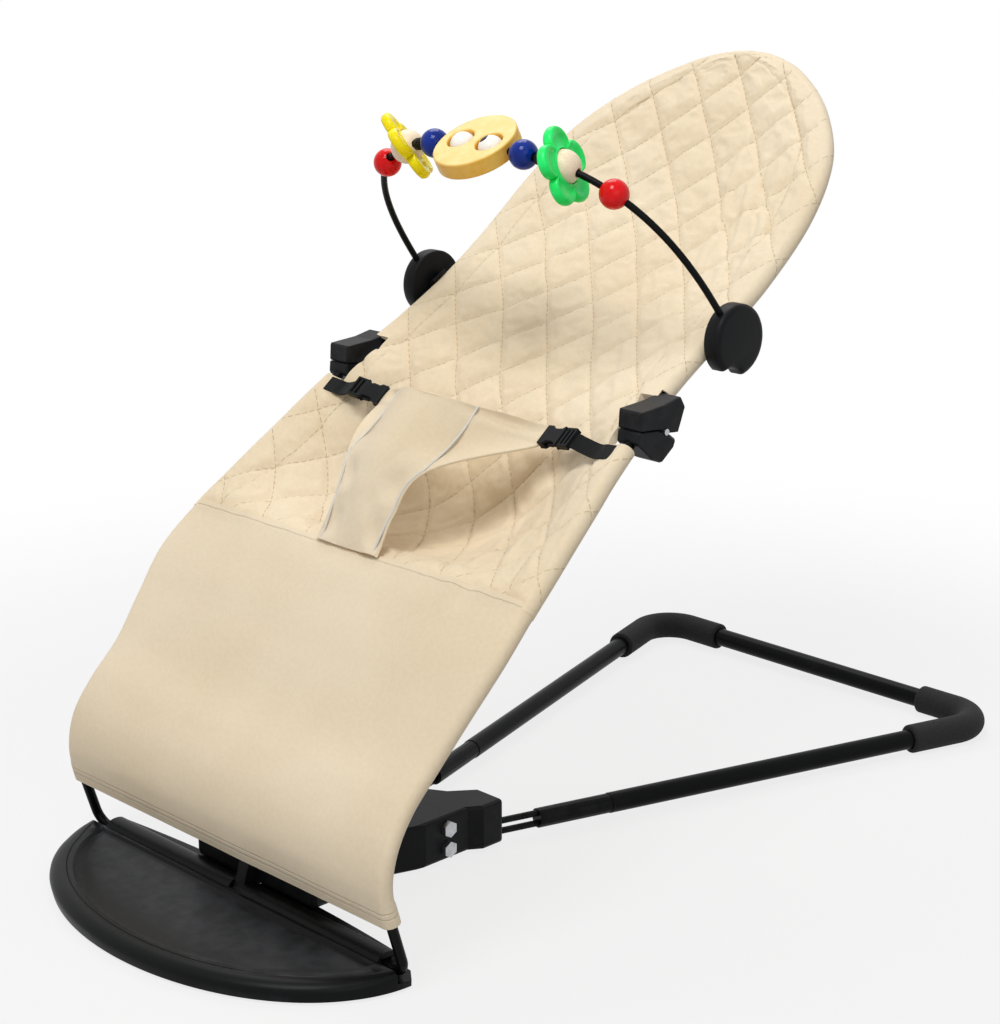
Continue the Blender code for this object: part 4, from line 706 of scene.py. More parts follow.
def quiltShape(x, run, half):       # folds across the quilt, and how far its filling may rise at a spot
    look = quilt
    inside = half - abs(x)
    rise = 1.0
    for part in latticeAt(x, run):
        rise *= 1 - math.exp(-look["steepness"] * abs(math.sin(math.pi * part)))
    rise *= ramp(inside, 0.0, look["edgeRise"])
    rise *= ramp(run, look["hemStart"], look["edgeRise"])
    pucker = look["pucker"] * (1 - rise) * ripple(x, run, look["puckerSize"], 5.0)
    crease = 1 - min(1.0, 3.0 * abs(ripple(x + 0.75 * run, 0.3 * run, look["foldSize"], 2.0)))
    fold = 0.6 * look["fold"] * (crease ** 2 - 0.3) * (0.5 + 0.5 * min(1.0, abs(x) / 0.08))
    for first, at, last, height, wide in look["pulls"]:
        along = (run - first) / (last - first)
        if 0 < along < 1:
            off = x - at + 0.28 * (run - first) + 0.004 * ripple(run, at, 0.05, 3.3)
            fold += height * math.sin(math.pi * along) * math.exp(-(off / wide) ** 2)
    strapped = fade(abs(run - look["strapRun"]), look["strapReach"]) * ramp(abs(x), look["strapFrom"], 0.02)
    rise *= 1 - strapped
    fold *= 1 - strapped
    start = ramp(run, 0.009, 0.008)
    gather = look["fold"] * start * fade(run, look["gatherRun"])
    gather *= ripple(x, run * 0.15, look["gatherSize"], 6.1)
    dent = look["seamDent"] * math.exp(-((inside - look["edgeSeam"]) / look["seamDentWidth"]) ** 2)
    return pucker - dent + (fold + gather) * ramp(inside, 0.0, look["foldEdge"]), rise


def clothRows(places, reachAt):         # a row at each place, with its distance along the wire's side view
    rows = []
    run = 0.0
    for place in places:
        row = clothRow(place, reachAt(place))
        if rows:
            run += (row[0].yz - rows[-1][1][0].yz).length
        rows.append((run, row))
    return rows


def makeLegCover():
    look = legCover
    length = stationLength()
    last = crest + look["overlap"] / length

    def reachAt(place):         # wider where it lies over the quilt's edge
        return look["reach"] + look["overReach"] * min(1.0, fade((last - place) * length, look["overRun"]))

    rows = clothRows(placesAlong(look["hemStart"], last, look["rowStep"]), reachAt)
    look["length"] = rows[-1][0]
    grid, info = clothGrid(rows, look, legShape)
    finish = cottonFinish("smooth_cotton_poplin", cotton["dark"], cotton["light"],
                          hemLines=(*look["hemLines"], look["length"] - look["edgeWidth"] * 0.6))
    cover = clothPiece("leg_cover_cloth", grid, info, look, finish, legExtra)
    standsFor(cover, "leg_cover")


def makeQuilt():
    look = quilt
    length = stationLength()
    places = placesAlong(crest + look["seamStart"] / length, headPlace - look["headGap"], look["rowStep"])

    def reachAt(place):         # tighter where it is tucked under the leg cover's edge
        over = max(0.0, (place - places[0]) * length - look["tuckStart"])
        return look["reach"] - look["tuckUnder"] * fade(over, look["tuckRun"])

    rows = clothRows(places, reachAt)
    joint = courseAt(jointPlace)[0]
    along = (courseAt(jointPlace + 0.02)[0] - courseAt(jointPlace - 0.02)[0]).normalized()
    onWire = [(row[0] - joint).dot(along) for run, row in rows]
    grid, info = clothGrid(rows, look, quiltShape)
    sleeveFaces = (len(grid[0]) - 1 - look["columns"]) // 2

    def hole(r, c):         # the cut-outs for the side connectors, shorter on the panel than round the wire
        inward = min(c, len(grid[0]) - 2 - c) - sleeveFaces
        top = cutOut["panelHigh"] if inward >= -cutOut["overlap"] else cutOut["high"]
        return inward < cutOut["columns"] and cutOut["low"] < onWire[r] and onWire[r + 1] < top

    finish = cottonFinish("quilted_cotton_poplin", cotton["quiltDark"], cotton["quiltLight"], stitched=True)
    back = clothPiece("quilted_back", grid, info, look, finish, None, hole, True)
    standsFor(back, "quilted_seat")
    return back


# The quilt's filling swells between its held stitches: a cloth simulation under pressure, without gravity
swell = dict(frames=14, held=0.10, margin=0.010, hem=0.012, seamHalf=0.0012, reach=0.0045)

clothSettings = dict(quality=4, mass=0.25, tension_stiffness=12.0, compression_stiffness=12.0,
                     shear_stiffness=6.0, bending_stiffness=1.6, tension_damping=8.0, compression_damping=8.0,
                     use_pressure=True, uniform_pressure_force=6.0, shrink_min=-0.020)


def fillQuilt(piece):
    look = swell
    mesh = piece.data
    before = [vert.co.copy() for vert in mesh.vertices]
    lattice = mesh.attributes["lattice"].data
    weft = mesh.attributes["weft"].data
    pinned = []
    for vert in mesh.vertices:
        p, q, inside = lattice[vert.index].vector
        stitched = min(abs(math.sin(math.pi * p)), abs(math.sin(math.pi * q))) < look["held"]
        atSeam = abs(inside - quilt["edgeSeam"]) < look["seamHalf"]
        atHem = weft[vert.index].vector.y < look["hem"]
        if inside < look["margin"] or stitched or atSeam or atHem:
            pinned.append(vert.index)
    piece.vertex_groups.new(name="held").add(pinned, 1.0, "REPLACE")
    cloth = piece.modifiers.new("filling", "CLOTH")
    for setting, value in clothSettings.items():
        setattr(cloth.settings, setting, value)
    cloth.settings.vertex_group_mass = "held"
    cloth.settings.effector_weights.gravity = 0.0
    cloth.collision_settings.use_collision = False
    cloth.point_cache.frame_start = 1
    cloth.point_cache.frame_end = look["frames"]
    for frameNumber in range(1, look["frames"] + 1):
        scene.frame_set(frameNumber)
    swollen = piece.evaluated_get(bpy.context.evaluated_depsgraph_get()).to_mesh()
    spots = [vert.co.copy() for vert in swollen.vertices]
    piece.modifiers.clear()
    piece.vertex_groups.clear()
    scene.frame_set(1)
    moved = 0.0
    for vert, old, new in zip(mesh.vertices, before, spots):
        shift = new - old
        if shift.length > look["reach"]:
            shift *= look["reach"] / shift.length
        moved = max(moved, shift.length)
        vert.co = old + shift
    mesh.update()
    print("quilt filled, largest move", round(moved * 1000, 2), "mm")


makeLegCover()
print("leg cover ready")
quiltPiece = makeQuilt()
fillQuilt(quiltPiece)
print("quilted seat ready")


# Harness: flap with two wings, piping, side-release buckles and webbing

flap = dict(rise=((0.1310, 0.3250, 0.0370), (0.1500, 0.3600, 0.0480), (0.1844, 0.3976, 0.1000),
                  (0.2000, 0.4100, 0.1000)),
            footHalfWidth=0.0375, footGap=0.0020, slope=38.5, wingDrop=0.0575, wingRise=0.0313,
            cadThickness=0.0040, fold=0.0026, foldTurns=6.3, foldFrom=0.35, crumple=0.0012, rows=64,
            columns=96, thickness=0.0022, seamPinch=0.45, seamWidth=0.0025, weftLength=0.035,
            bindingRadius=0.0013, bindingSteps=60, pipingRadius=0.0012, pipingSteps=56, pipingLift=0.62,
            pipingX=(0.0325, 0.0362, 0.0468, 0.0480, 0.0465))
buckle = dict(tilt=10.0, width=0.0200, thickness=0.0080, socketLength=0.0240, plugLength=0.0130,
              seated=0.0003, waist=0.0028, waistPlaces=(0.30, 0.42, 0.80, 0.93), shellGap=0.0016,
              rootInset=0.0004, rootHalf=0.0015, frameInset=0.0012, slotInset=0.0022,
              slots=((0.0035, 0.0058), (0.0084, 0.0106)), prongHalf=0.0013, webbing=0.0150,
              webbingThickness=0.0014, webbingCrown=0.0002, webbingHold=0.82,
              prong=((0.0010, 0.0050), (-0.0040, 0.0056), (-0.0100, 0.0062), (-0.0135, 0.0072),
                     (-0.0120, 0.0094), (-0.0055, 0.0096), (-0.0030, 0.0084), (0.0010, 0.0090)),
              strapInset=0.0150, strapSteps=36, strapSearch=(10.5, 60, 100),
              lay=((-0.012, 0.0078), (-0.002, 0.0046), (0.009, 0.0004)))     # beyond the end, height


def flapAxes():
    slope = math.radians(flap["slope"])
    return Vector((0.0, math.cos(slope), math.sin(slope))), Vector((0.0, -math.sin(slope), math.cos(slope)))


def flapStations():         # distance behind the hinge line, height, half width
    centre, front = courseAt(crest)[:2]
    lift = quilt["reach"] + flap["footGap"] + flap["cadThickness"] / 2 + buckle["seated"]
    foot = centre + front * lift
    return ((foot.y - hingeY, foot.z, flap["footHalfWidth"]), *flap["rise"])


def flapSpot(place, share):         # share runs from -1 to 1 across, the wings bend down to the buckles
    along, out = flapAxes()
    y, z, half = between(flapStations(), place)
    widest = flap["rise"][-1][2]
    half = min(half, widest)
    bend = math.sin(math.pi / 2 * abs(share)) ** 2 * (half / widest) ** 2 * min(1.0, place)
    return Vector((share * half, hingeY + y, z)) + bend * (flap["wingRise"] * along - flap["wingDrop"] * out)


def flapHalf(place):
    return min(between(flapStations(), place)[2], flap["rise"][-1][2])


def flapOut(place, share, step=0.03):
    top = len(flap["rise"])
    ahead = flapSpot(min(place + step, top), share) - flapSpot(max(place - step, 0.0), share)
    across = flapSpot(place, min(share + step, 1.0)) - flapSpot(place, max(share - step, -1.0))
    return across.cross(ahead).normalized()


def pipingAt(place):
    return between([(x, 0.0, 0.0) for x in flap["pipingX"]], place)[0]


def makeFlap():
    look = flap
    top = len(look["rise"])
    rows, columns = look["rows"], look["columns"]
    verts, weft = [], []
    for layer in (1, -1):
        for r in range(rows + 1):
            place = top * r / rows
            for c in range(columns + 1):
                share = 1 - 2 * c / columns
                x = share * flapHalf(place)
                seam = abs(abs(x) - pipingAt(place))
                pinch = look["seamPinch"] * math.exp(-(seam / look["seamWidth"]) ** 2)
                soft = look["thickness"] / 2 * (1 - pinch)
                loose = ramp(abs(share), look["foldFrom"], 0.3) * max(0.0, 1 - abs(share) ** 8)
                fold = look["fold"] * loose * math.sin(look["foldTurns"] * place + 1.5 * abs(share))
                fold += look["crumple"] * ripple(x * 0.5, place * 0.02, 0.012, 4.0)
                verts.append(flapSpot(place, share) + flapOut(place, share) * (soft * layer + fold))
                weft.append((x, place * look["weftLength"], 0.0))
    size = (rows + 1) * (columns + 1)

    def at(r, c, layer):
        return layer * size + r * (columns + 1) + c

    faces = []
    for r in range(rows):
        for c in range(columns):
            faces.append((at(r, c, 0), at(r, c + 1, 0), at(r + 1, c + 1, 0), at(r + 1, c, 0)))
            faces.append((at(r, c, 1), at(r + 1, c, 1), at(r + 1, c + 1, 1), at(r, c + 1, 1)))
    rim = [(0, c) for c in range(columns)] + [(r, columns) for r in range(rows)]
    rim += [(rows, c) for c in range(columns, 0, -1)] + [(r, 0) for r in range(rows, 0, -1)]
    for a, b in zip(rim, rim[1:] + rim[:1]):
        faces.append((at(*b, 0), at(*a, 0), at(*a, 1), at(*b, 1)))
    finish = cottonFinish("flap_cotton_poplin", cotton["dark"], cotton["light"])
    piece = addPiece("flap_cloth", verts, faces, finish, "seat", layers={"weft": weft})
    keepSharp(piece, 60)
    standsFor(piece, "harness_flap")
    steps = look["bindingSteps"]
    edge = [flapSpot(top * r / steps, 1.0) for r in range(steps + 1)]
    edge += [flapSpot(top, 1 - 2 * c / steps) for c in range(1, steps + 1)]
    edge += [flapSpot(top * (steps - r) / steps, -1.0) for r in range(1, steps + 1)]
    tape = tubePiece("flap_binding", edge, look["bindingRadius"], finish, "seat", 10)
    for name, side in bothSides:
        line = []
        for r in range(look["pipingSteps"] + 1):
            place = top * r / look["pipingSteps"]
            share = side * min(0.97, pipingAt(place) / flapHalf(place))
            lift = flapOut(place, share) * look["thickness"] * look["pipingLift"]
            line.append(flapSpot(place, share) + lift)
        cord = tubePiece(f"flap_piping_{name}", line, look["pipingRadius"], piping, "seat", 10)


def buckleMatrix(side):         # X away from the wing, Y along the back, Z out of the buckle
    along, out = flapAxes()
    tilt = math.radians(buckle["tilt"])
    away = Vector((side * math.cos(tilt), 0, 0)) + out * math.sin(tilt)
    top = len(flap["rise"])
    wingEnd = (flapSpot(top - 1, side) + flapSpot(top, side)) / 2
    place = wingEnd + away * (buckle["seated"] + flap["cadThickness"] * math.sin(tilt))
    return Matrix.Translation(place) @ Matrix((away, along, away.cross(along))).transposed().to_4x4()


# A flat slab from low to high; outlines after the first are its holes
def slabPiece(name, outlines, low, high, matrix, finish, body, edge=0.0007, segments=3):
    form = bmesh.new()
    for outline in outlines:
        verts = [form.verts.new((x, y, 0.0)) for x, y in outline]
        for a, b in zip(verts, verts[1:] + verts[:1]):
            form.edges.new((a, b))
    bmesh.ops.triangle_fill(form, use_beauty=True, use_dissolve=False, edges=form.edges[:])
    bmesh.ops.dissolve_limit(form, angle_limit=0.01, verts=form.verts[:], edges=form.edges[:])
    for vert in form.verts:
        vert.co.z = low
    raised = bmesh.ops.extrude_face_region(form, geom=form.faces[:])
    for item in raised["geom"]:
        if isinstance(item, bmesh.types.BMVert):
            item.co.z = high
    bmesh.ops.recalc_face_normals(form, faces=form.faces[:])
    mesh = bpy.data.meshes.new(name)
    form.to_mesh(mesh)
    form.free()
    mesh.transform(matrix)
    mesh.materials.append(finish)
    mesh.shade_smooth()
    piece = addObject(name, mesh)
    easeEdges(piece, 35.0, edge, segments)
    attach(piece, body)
    return piece


def rectangle(first, last, half):
    return [(first, -half), (last, -half), (last, half), (first, half)]


def makeBuckle(name, side):
    look = buckle
    matrix = buckleMatrix(side)
    w, t, long = look["width"] / 2, look["thickness"] / 2, look["socketLength"]
    widths = (w, w, w - look["waist"], w - look["waist"], w, w)
    edge = [(long * place, -half) for place, half in zip((0.0, *look["waistPlaces"], 1.0), widths)]
    waisted = edge + [(x, -y) for x, y in reversed(edge)]
    root = rectangle(0.0, long * look["waistPlaces"][0], w - look["rootInset"])
    start = long + look["seated"]
    end = start + look["plugLength"]
    holes = [rectangle(start + near, start + far, w - look["slotInset"]) for near, far in look["slots"]]
    shell = (-t + look["frameInset"], t - look["frameInset"])
    plug = f"plug_{name}"
    slabs = [("socket_shell", [waisted], look["shellGap"], t, "seat", 0.0007, 3),
             ("socket_floor", [waisted], -t, -look["shellGap"], "seat", 0.0007, 3),
             ("socket_root", [root], -look["rootHalf"], look["rootHalf"], "seat", 0.0003, 2),
             ("plug_frame", [rectangle(start, end, w), *holes], *shell, plug, 0.0006, 3)]
    for prong, across in (("low", -1), ("high", 1)):
        outline = [(start + x, across * y) for x, y in look["prong"]]
        half = look["prongHalf"]
        slabs.append((f"plug_prong_{prong}", [outline], -half, half, plug, 0.0004, 2))
    nodes = dict(socket_shell="buckle_socket", plug_frame="buckle_plug")
    for kind, outlines, low, high, body, *rounding in slabs:
        piece = slabPiece(f"{kind}_{name}", outlines, low, high, matrix, mouldedNylon, body, *rounding)
        if kind in nodes:
            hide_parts(f"{nodes[kind]}_{name}")
    return matrix @ Vector((start + look["plugLength"] * look["webbingHold"], 0, 0))


def makeStrap(name, side, start):
    look = buckle
    along = flapAxes()[0]
    first, perStation, steps = look["strapSearch"]
    places = [first + step / perStation for step in range(steps)]
    place = min(places, key=lambda place: abs((courseAt(place)[0] - start).dot(along)))
    row = clothRow(place, quilt["reach"])
    endX = row[0].x - look["strapInset"]
    spots = [start]
    for beyond, lift in look["lay"]:
        spot = panelSpot(row, endX + beyond)
        spot.x *= side
        spots.append(spot + row[1] * lift)
    last = look["strapSteps"]
    guides = [start + (start - spots[1]) * 0.2, *spots, spots[-1] + (spots[-1] - spots[-2])]
    course = [between(guides, 1 + 3 * step / last) for step in range(last + 1)]
    half, thin = look["webbing"] / 2, look["webbingThickness"] / 2
    wide = half + look["webbingCrown"]
    section = [(-half, -thin), (half, -thin), (wide, 0.0), (half, thin), (-half, thin), (-wide, 0.0)]
    rings, values = [], []
    run = 0.0
    for i, spot in enumerate(course):
        ahead = (course[min(i + 1, last)] - course[max(i - 1, 0)]).normalized()
        across = (along - ahead * along.dot(ahead)).normalized()
        up = ahead.cross(across)
        rings.append([spot + across * a + up * b for a, b in section])
        run += (spot - course[i - 1]).length if i else 0.0
        values.extend((a, run, 0.0) for a, b in section)
    strap = addPiece(f"strap_webbing_{name}", *skin(rings), webbing, layers={"weft": values})
    keepSharp(strap, 40)
    standsFor(strap, f"strap_{name}")
    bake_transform(strap)


# Foot plate, ridge covers, wires, tube and grips

plate = dict(halfWidth=0.206, depth=0.138, bottom=0.0022, top=0.0179, rearEnds=0.0080, rearBow=0.0130,
             rimWidth=0.0135, rimDrop=0.0085, rearRound=0.0035, bottomRound=0.12, dishMargin=0.020,
             dishDepth=0.0030, dishRear=-0.0165, dishNarrow=0.985, dishBulge=0.015, steps=96, rearSteps=36,
             rimShares=(0.0, 0.04, 0.12, 0.24, 0.4, 0.58, 0.78, 1.0), grooveFrom=0.009,
             grooves=((0.0010, 0.0), (0.0018, 0.0007), (0.0026, 0.0)),
             dishSlope=((0.0, 0.0), (0.0022, 0.8), (0.0060, 1.0)),
             slotHalf=0.0065, slotFront=-0.0125, slotFloor=0.0050, cutRear=0.03, cutClear=0.01,
             edgeRound=0.0006)
hinge = dict(y=-0.0040, z=0.0125, channelHalf=0.0052, channelFloor=0.0078, notchWidth=0.0250,
             notchFront=0.0095, coverGap=0.0070, coverFoot=0.0105, coverHalf=0.0088, coverRise=0.0036,
             coverEdge=0.0014, coverShift=0.0006, coverHeight=0.0183, coverStep=0.0008, bend=0.014)


def cutAway(piece, boxes):          # each box is a low and a high corner
    for low, high in boxes:
        low, high = Vector(low), Vector(high)
        place = Matrix.Translation((low + high) / 2) @ Matrix.Diagonal((*(high - low), 1.0))
        form = bmesh.new()
        bmesh.ops.create_cube(form, size=1.0)
        bmesh.ops.transform(form, matrix=place, verts=form.verts)
        mesh = bpy.data.meshes.new("cutter")
        form.to_mesh(mesh)
        form.free()
        cutter = addObject("cutter", mesh)
        trim = piece.modifiers.new("trim", "BOOLEAN")
        trim.operation = "DIFFERENCE"
        trim.solver = "MANIFOLD"
        trim.object = cutter
        bpy.context.view_layer.update()
        result = bpy.data.meshes.new_from_object(piece.evaluated_get(bpy.context.evaluated_depsgraph_get()))
        piece.modifiers.clear()
        old = piece.data
        piece.data = result
        bpy.data.meshes.remove(old)
        bpy.data.objects.remove(cutter)
        bpy.data.meshes.remove(mesh)


def plateOutlines():        # edge, dish's edge, way and distance to it, rim's width and drop
    look = plate
    halfWidth, rearRound = look["halfWidth"], look["rearRound"]
    dishHalf, dishLong = halfWidth - look["dishMargin"], look["depth"] - look["dishMargin"]
    spots = []
    for step in range(look["steps"] + 1):
        angle = math.pi * step / look["steps"]
        narrow = min(1.0, look["dishNarrow"] + look["dishBulge"] * math.sin(angle))
        edge = Vector((-halfWidth * math.cos(angle), -look["depth"] * math.sin(angle)))
        front = min(-dishLong * math.sin(angle), look["dishRear"])
        dish = Vector((-dishHalf * math.cos(angle) * narrow, front))
        frontness = min(1.0, math.sin(angle) / 0.35)
        spots.append((edge, dish, rearRound + (look["rimWidth"] - rearRound) * frontness,
                      rearRound + (look["rimDrop"] - rearRound) * frontness))
    for step in range(1, look["rearSteps"]):
        x = halfWidth * (1 - 2 * step / look["rearSteps"])
        edge = Vector((x, look["rearEnds"] + look["rearBow"] * (1 - (x / halfWidth) ** 2)))
        dish = Vector((x * dishHalf * look["dishNarrow"] / halfWidth, look["dishRear"]))
        spots.append((edge, dish, rearRound, rearRound))
    return [(edge, dish, (dish - edge) / (dish - edge).length, (dish - edge).length, width, drop)
            for edge, dish, width, drop in spots]


def makePlate():
    look = plate
    top = look["top"]
    columns = []
    for edge, dish, ahead, span, width, drop in plateOutlines():
        levels = [(edge + ahead * width * look["bottomRound"], look["bottom"])]
        for share in look["rimShares"]:
            down = drop * (1 - math.sqrt(max(0.0, 1 - (1 - share) ** 2)))
            levels.append((edge + ahead * min(width * share, span * 0.8), top - down))
        for beyond, dip in look["grooves"]:
            down = dip if width > look["grooveFrom"] else 0.0
            levels.append((edge + ahead * min(width + beyond, span * 0.86), top - down))
        for beyond, share in look["dishSlope"]:
            levels.append((dish + ahead * beyond, top - look["dishDepth"] * share))
        columns.append([Vector((spot.x, hingeY + spot.y, z)) for spot, z in levels])
    rings = list(zip(*columns))
    piece = addPiece("foot_plate_moulding", *skin(rings), mouldedPolypropylene)
    y, half, floorZ = hingeY + hinge["y"], hinge["channelHalf"], hinge["channelFloor"]
    above, wide = top + look["cutClear"], look["halfWidth"] + look["cutClear"]
    rear, slot = hingeY + look["cutRear"], look["slotHalf"]
    boxes = [((-wide, y - half, floorZ), (wide, y + half, above)),
             ((-slot, hingeY + look["slotFront"], look["slotFloor"]), (slot, rear, above))]
    for side in (1, -1):
        low, high = sorted((side * (look["halfWidth"] - hinge["notchWidth"]), side * wide))
        boxes.append(((low, y - hinge["notchFront"], floorZ), (high, rear, above)))
    cutAway(piece, boxes)
    piece.data.shade_smooth()
    easeEdges(piece, 35.0, look["edgeRound"])
    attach(piece, "base")
    standsFor(piece, "foot_plate")


def makeRidgeCovers():
    look = hinge
    foot = look["coverFoot"]
    section = [(-foot, 0.0)]
    for step in range(17):
        angle = math.pi * (1 - step / 16)
        section.append((look["coverHalf"] * math.cos(angle) + look["coverShift"],
                        look["coverEdge"] + look["coverRise"] * math.sin(angle)))
    section += [(foot, look["coverStep"]), (foot, 0.0)]
    for name, side in bothSides:
        low, high = sorted((side * look["coverGap"], side * (plate["halfWidth"] - look["notchWidth"])))
        rings = []
        for step in range(9):
            x = low + (high - low) * step / 8
            rings.append([Vector((x, hingeY + look["y"] + a, look["coverHeight"] + b)) for a, b in section])
        cover = addPiece(f"ridge_strip_{name}", *skin(rings), mouldedPolypropylene, "base")
        easeEdges(cover, 50.0, 0.0005)
        standsFor(cover, f"ridge_cover_{name}")


def coursePoints(first, last, side, step=0.004):
    spots = [courseAt(place)[0] for place in placesAlong(first, last, step)]
    return [Vector((side * spot.x, spot.y, spot.z)) for spot in spots]


def makeWires():
    top = courseAt(0.0)[0]
    ahead = (courseAt(0.05)[0] - top).normalized()
    end = top - ahead * 0.0008
    corner = Vector((end.x, hingeY + hinge["y"], hinge["z"]))
    path = roundedCorners([end, corner, mirrored(corner), mirrored(end)], hinge["bend"], 12, 0.02)
    rods = [("cross_wire_rod", "cross_wire", path, "yoke")]
    for name, side in bothSides:
        rods.append((f"seat_wire_tube_{name}", f"seat_wire_{name}",
                     coursePoints(0.012, jointPlace - 0.12, side), "seat"))
    left = coursePoints(jointPlace + 0.14, headPlace, 1)
    arch = left + [mirrored(spot) for spot in reversed(left[:-1])]
    rods.append(("back_wire_arch", "back_wire", arch, "seat"))
    for name, node, points, body in rods:
        standsFor(tubePiece(name, points, wireRadius, powderCoat, body, 24), node)


tube = dict(radius=0.0095, gripRadius=0.0140, gripGap=0.0003, bend=0.034, hubX=0.0553, hubY=0.2360,
            slope=0.312, startY=0.3490, crossY=0.7730, middleGap=0.00002, gripLeg=0.105, gripCross=0.088,
            gripRound=0.0020, sides=40)


def legSpot(side, y):
    x = side * (tube["hubX"] + tube["slope"] * (y - tube["hubY"]))
    return Vector((x, hingeY + y, tube["gripRadius"]))


def makeTube(name, side):
    look = tube
    start, vertex = legSpot(side, look["startY"]), legSpot(side, look["crossY"])
    middle = Vector((side * look["middleGap"], vertex.y, vertex.z))
    path = roundedCorners([start, vertex, middle], look["bend"], 16, 0.02)
    pipe = tubePiece(f"rear_pipe_{name}", path, look["radius"], powderCoat, "base", 36)
    standsFor(pipe, f"rear_tube_{name}")
    legEnd = vertex + (start - vertex).normalized() * look["gripLeg"]
    crossEnd = vertex + (middle - vertex).normalized() * look["gripCross"]
    path = roundedCorners([legEnd, vertex, crossEnd], look["bend"], 20, 0.004)
    outer, rounding = look["gripRadius"], look["gripRound"]
    ends = [(ease, outer - rounding * (1 - math.sqrt(1 - (1 - ease) ** 2))) for ease in (0.0, 0.15, 0.5, 1.0)]

    def rounded(first, second):         # the grip's end, from its face to its full radius
        length = (second - first).length
        return [(first.lerp(second, ease * rounding / length), radius) for ease, radius in ends]

    fine = rounded(path[0], path[1]) + [(spot, outer) for spot in path[1:-1]]
    fine += reversed(rounded(path[-1], path[-2]))
    spots = [spot for spot, radius in fine]
    outside = [[spot + (v - spot) * radius for v in ring]
               for (spot, radius), ring in zip(fine, sweep(spots, circle(1.0, look["sides"])))]
    inside = sweep(spots, circle(look["radius"] + look["gripGap"], look["sides"]))
    verts, faces = skin(outside + inside[::-1], closed=True, caps=False)
    grip = addPiece(f"foam_grip_{name}", verts, faces, foam, "base")
    keepSharp(grip, 50)
    standsFor(grip, f"corner_grip_{name}")


# Toy bar: clamps, wire arch, beads, flower rings and face disc

clamp = dict(x=0.1667, y=0.0665, z=0.4540, knobInner=0.1796, knobRadius=0.0310, knobDepth=0.0160,
             notchRadius=0.0200, notchBeyond=0.0130, notchAngle=-104.5, sides=120,
             innerEdge=((0.0, 0.0018), (0.0006, 0.0006), (0.0018, 0.0)),        # off the face, off the rim
             outerEdge=((0.0042, 0.0), (0.0020, 0.0006), (0.0008, 0.0018), (0.0002, 0.0034), (0.0, 0.0056)))
bar = dict(halfSpan=0.1876, height=0.1960, power=2.8, lean=127.5, radius=0.0030, start=0.0175, steps=120)
beads = dict(radius=0.01275, bore=0.0042, boreEdge=0.0006, redX=0.138, blueX=0.054)

spacer = dict(x=0.0735, half=0.0050, bore=0.0033, face=0.0049, radius=0.0055, edge=0.0006)


def makeKnob(name, side):
    look = clamp
    way = math.radians(look["notchAngle"])
    centre = Vector((math.cos(way), math.sin(way))) * (look["knobRadius"] + look["notchBeyond"])
    outline = []
    for x, y in circle(1.0, look["sides"]):
        spot = Vector((x, y)) * look["knobRadius"]
        if (spot - centre).length < look["notchRadius"]:
            direction = spot.normalized()
            along = direction.dot(centre)
            depth = math.sqrt(max(look["notchRadius"] ** 2 - centre.length ** 2 + along ** 2, 0.0))
            spot = direction * (along - depth)
        outline.append(spot)
    edges = list(look["innerEdge"])
    edges += [(look["knobDepth"] - before, inset) for before, inset in look["outerEdge"]]
    rings = []
    for out, inset in edges:
        x = side * (look["knobInner"] + out)
        shares = [1 - inset / spot.length for spot in outline]
        rings.append([Vector((x, look["y"] + spot.x * share, look["z"] + spot.y * share))
                      for spot, share in zip(outline, shares)])
    knob = addPiece(f"knob_disc_{name}", *skin(rings), mouldedNylon, "seat")
    keepSharp(knob, 50)
    standsFor(knob, f"clamp_knob_{name}")


def barAxes():
    lean = math.radians(bar["lean"])
    return Vector((0, math.cos(lean), math.sin(lean)))


def barSpot(x):
    height = bar["height"] * max(0.0, 1 - (abs(x) / bar["halfSpan"]) ** bar["power"]) ** (1 / bar["power"])
    return Vector((x, clamp["y"], clamp["z"])) + barAxes() * height


def beadMatrix(x, length):          # a bead as long as length sits on the bend, its bore along Z
    tangent = (barSpot(x + 0.0005) - barSpot(x - 0.0005)).normalized()
    reach = length / 2 * abs(tangent.x)
    chord = (barSpot(x - reach) + barSpot(x + reach)) / 2
    return placed((chord + barSpot(x)) / 2, tangent, Vector((0, 1, 0)))


def placed(spot, normal, guess):
    normal = normal.normalized()
    side = (guess - normal * guess.dot(normal)).normalized()
    return Matrix.Translation(spot) @ Matrix((side, normal.cross(side), normal)).transposed().to_4x4()


def turned(name, profile, matrix, finish, body, sides=48):      # profile: a closed loop of radius and height
    rings = [[matrix @ Vector((radius * a, radius * b, height)) for a, b in circle(1.0, sides)]
             for radius, height in profile]
    piece = addPiece(name, *skin(rings, closed=True, caps=False), finish, body)
    keepSharp(piece, 50)
    return piece


def beadProfile(radius, steps=28):
    bore, edge = beads["bore"], beads["boreEdge"]
    lowest = math.acos(bore / radius)
    turns = [lowest * (2 * step / steps - 1) for step in range(steps + 1)]
    arc = [(radius * math.cos(turn), radius * math.sin(turn)) for turn in turns]
    end = arc[-1][1]
    return arc + [(bore - edge, end - edge), (bore - edge, -end + edge)]


def makeBar():
    look = bar
    start = look["start"] / look["height"]
    first = math.asin(start ** (look["power"] / 2))
    path = []
    for step in range(look["steps"] + 1):
        angle = first + (math.pi - 2 * first) * step / look["steps"]
        x = look["halfSpan"] * math.copysign(abs(math.cos(angle)) ** (2 / look["power"]), math.cos(angle))
        rise = barAxes() * look["height"] * math.sin(angle) ** (2 / look["power"])
        path.append(Vector((x, clamp["y"], clamp["z"])) + rise)
    rod = tubePiece("toy_wire", path, look["radius"], powderCoat, "toy_frame", 20)
    standsFor(rod, "toy_bar")


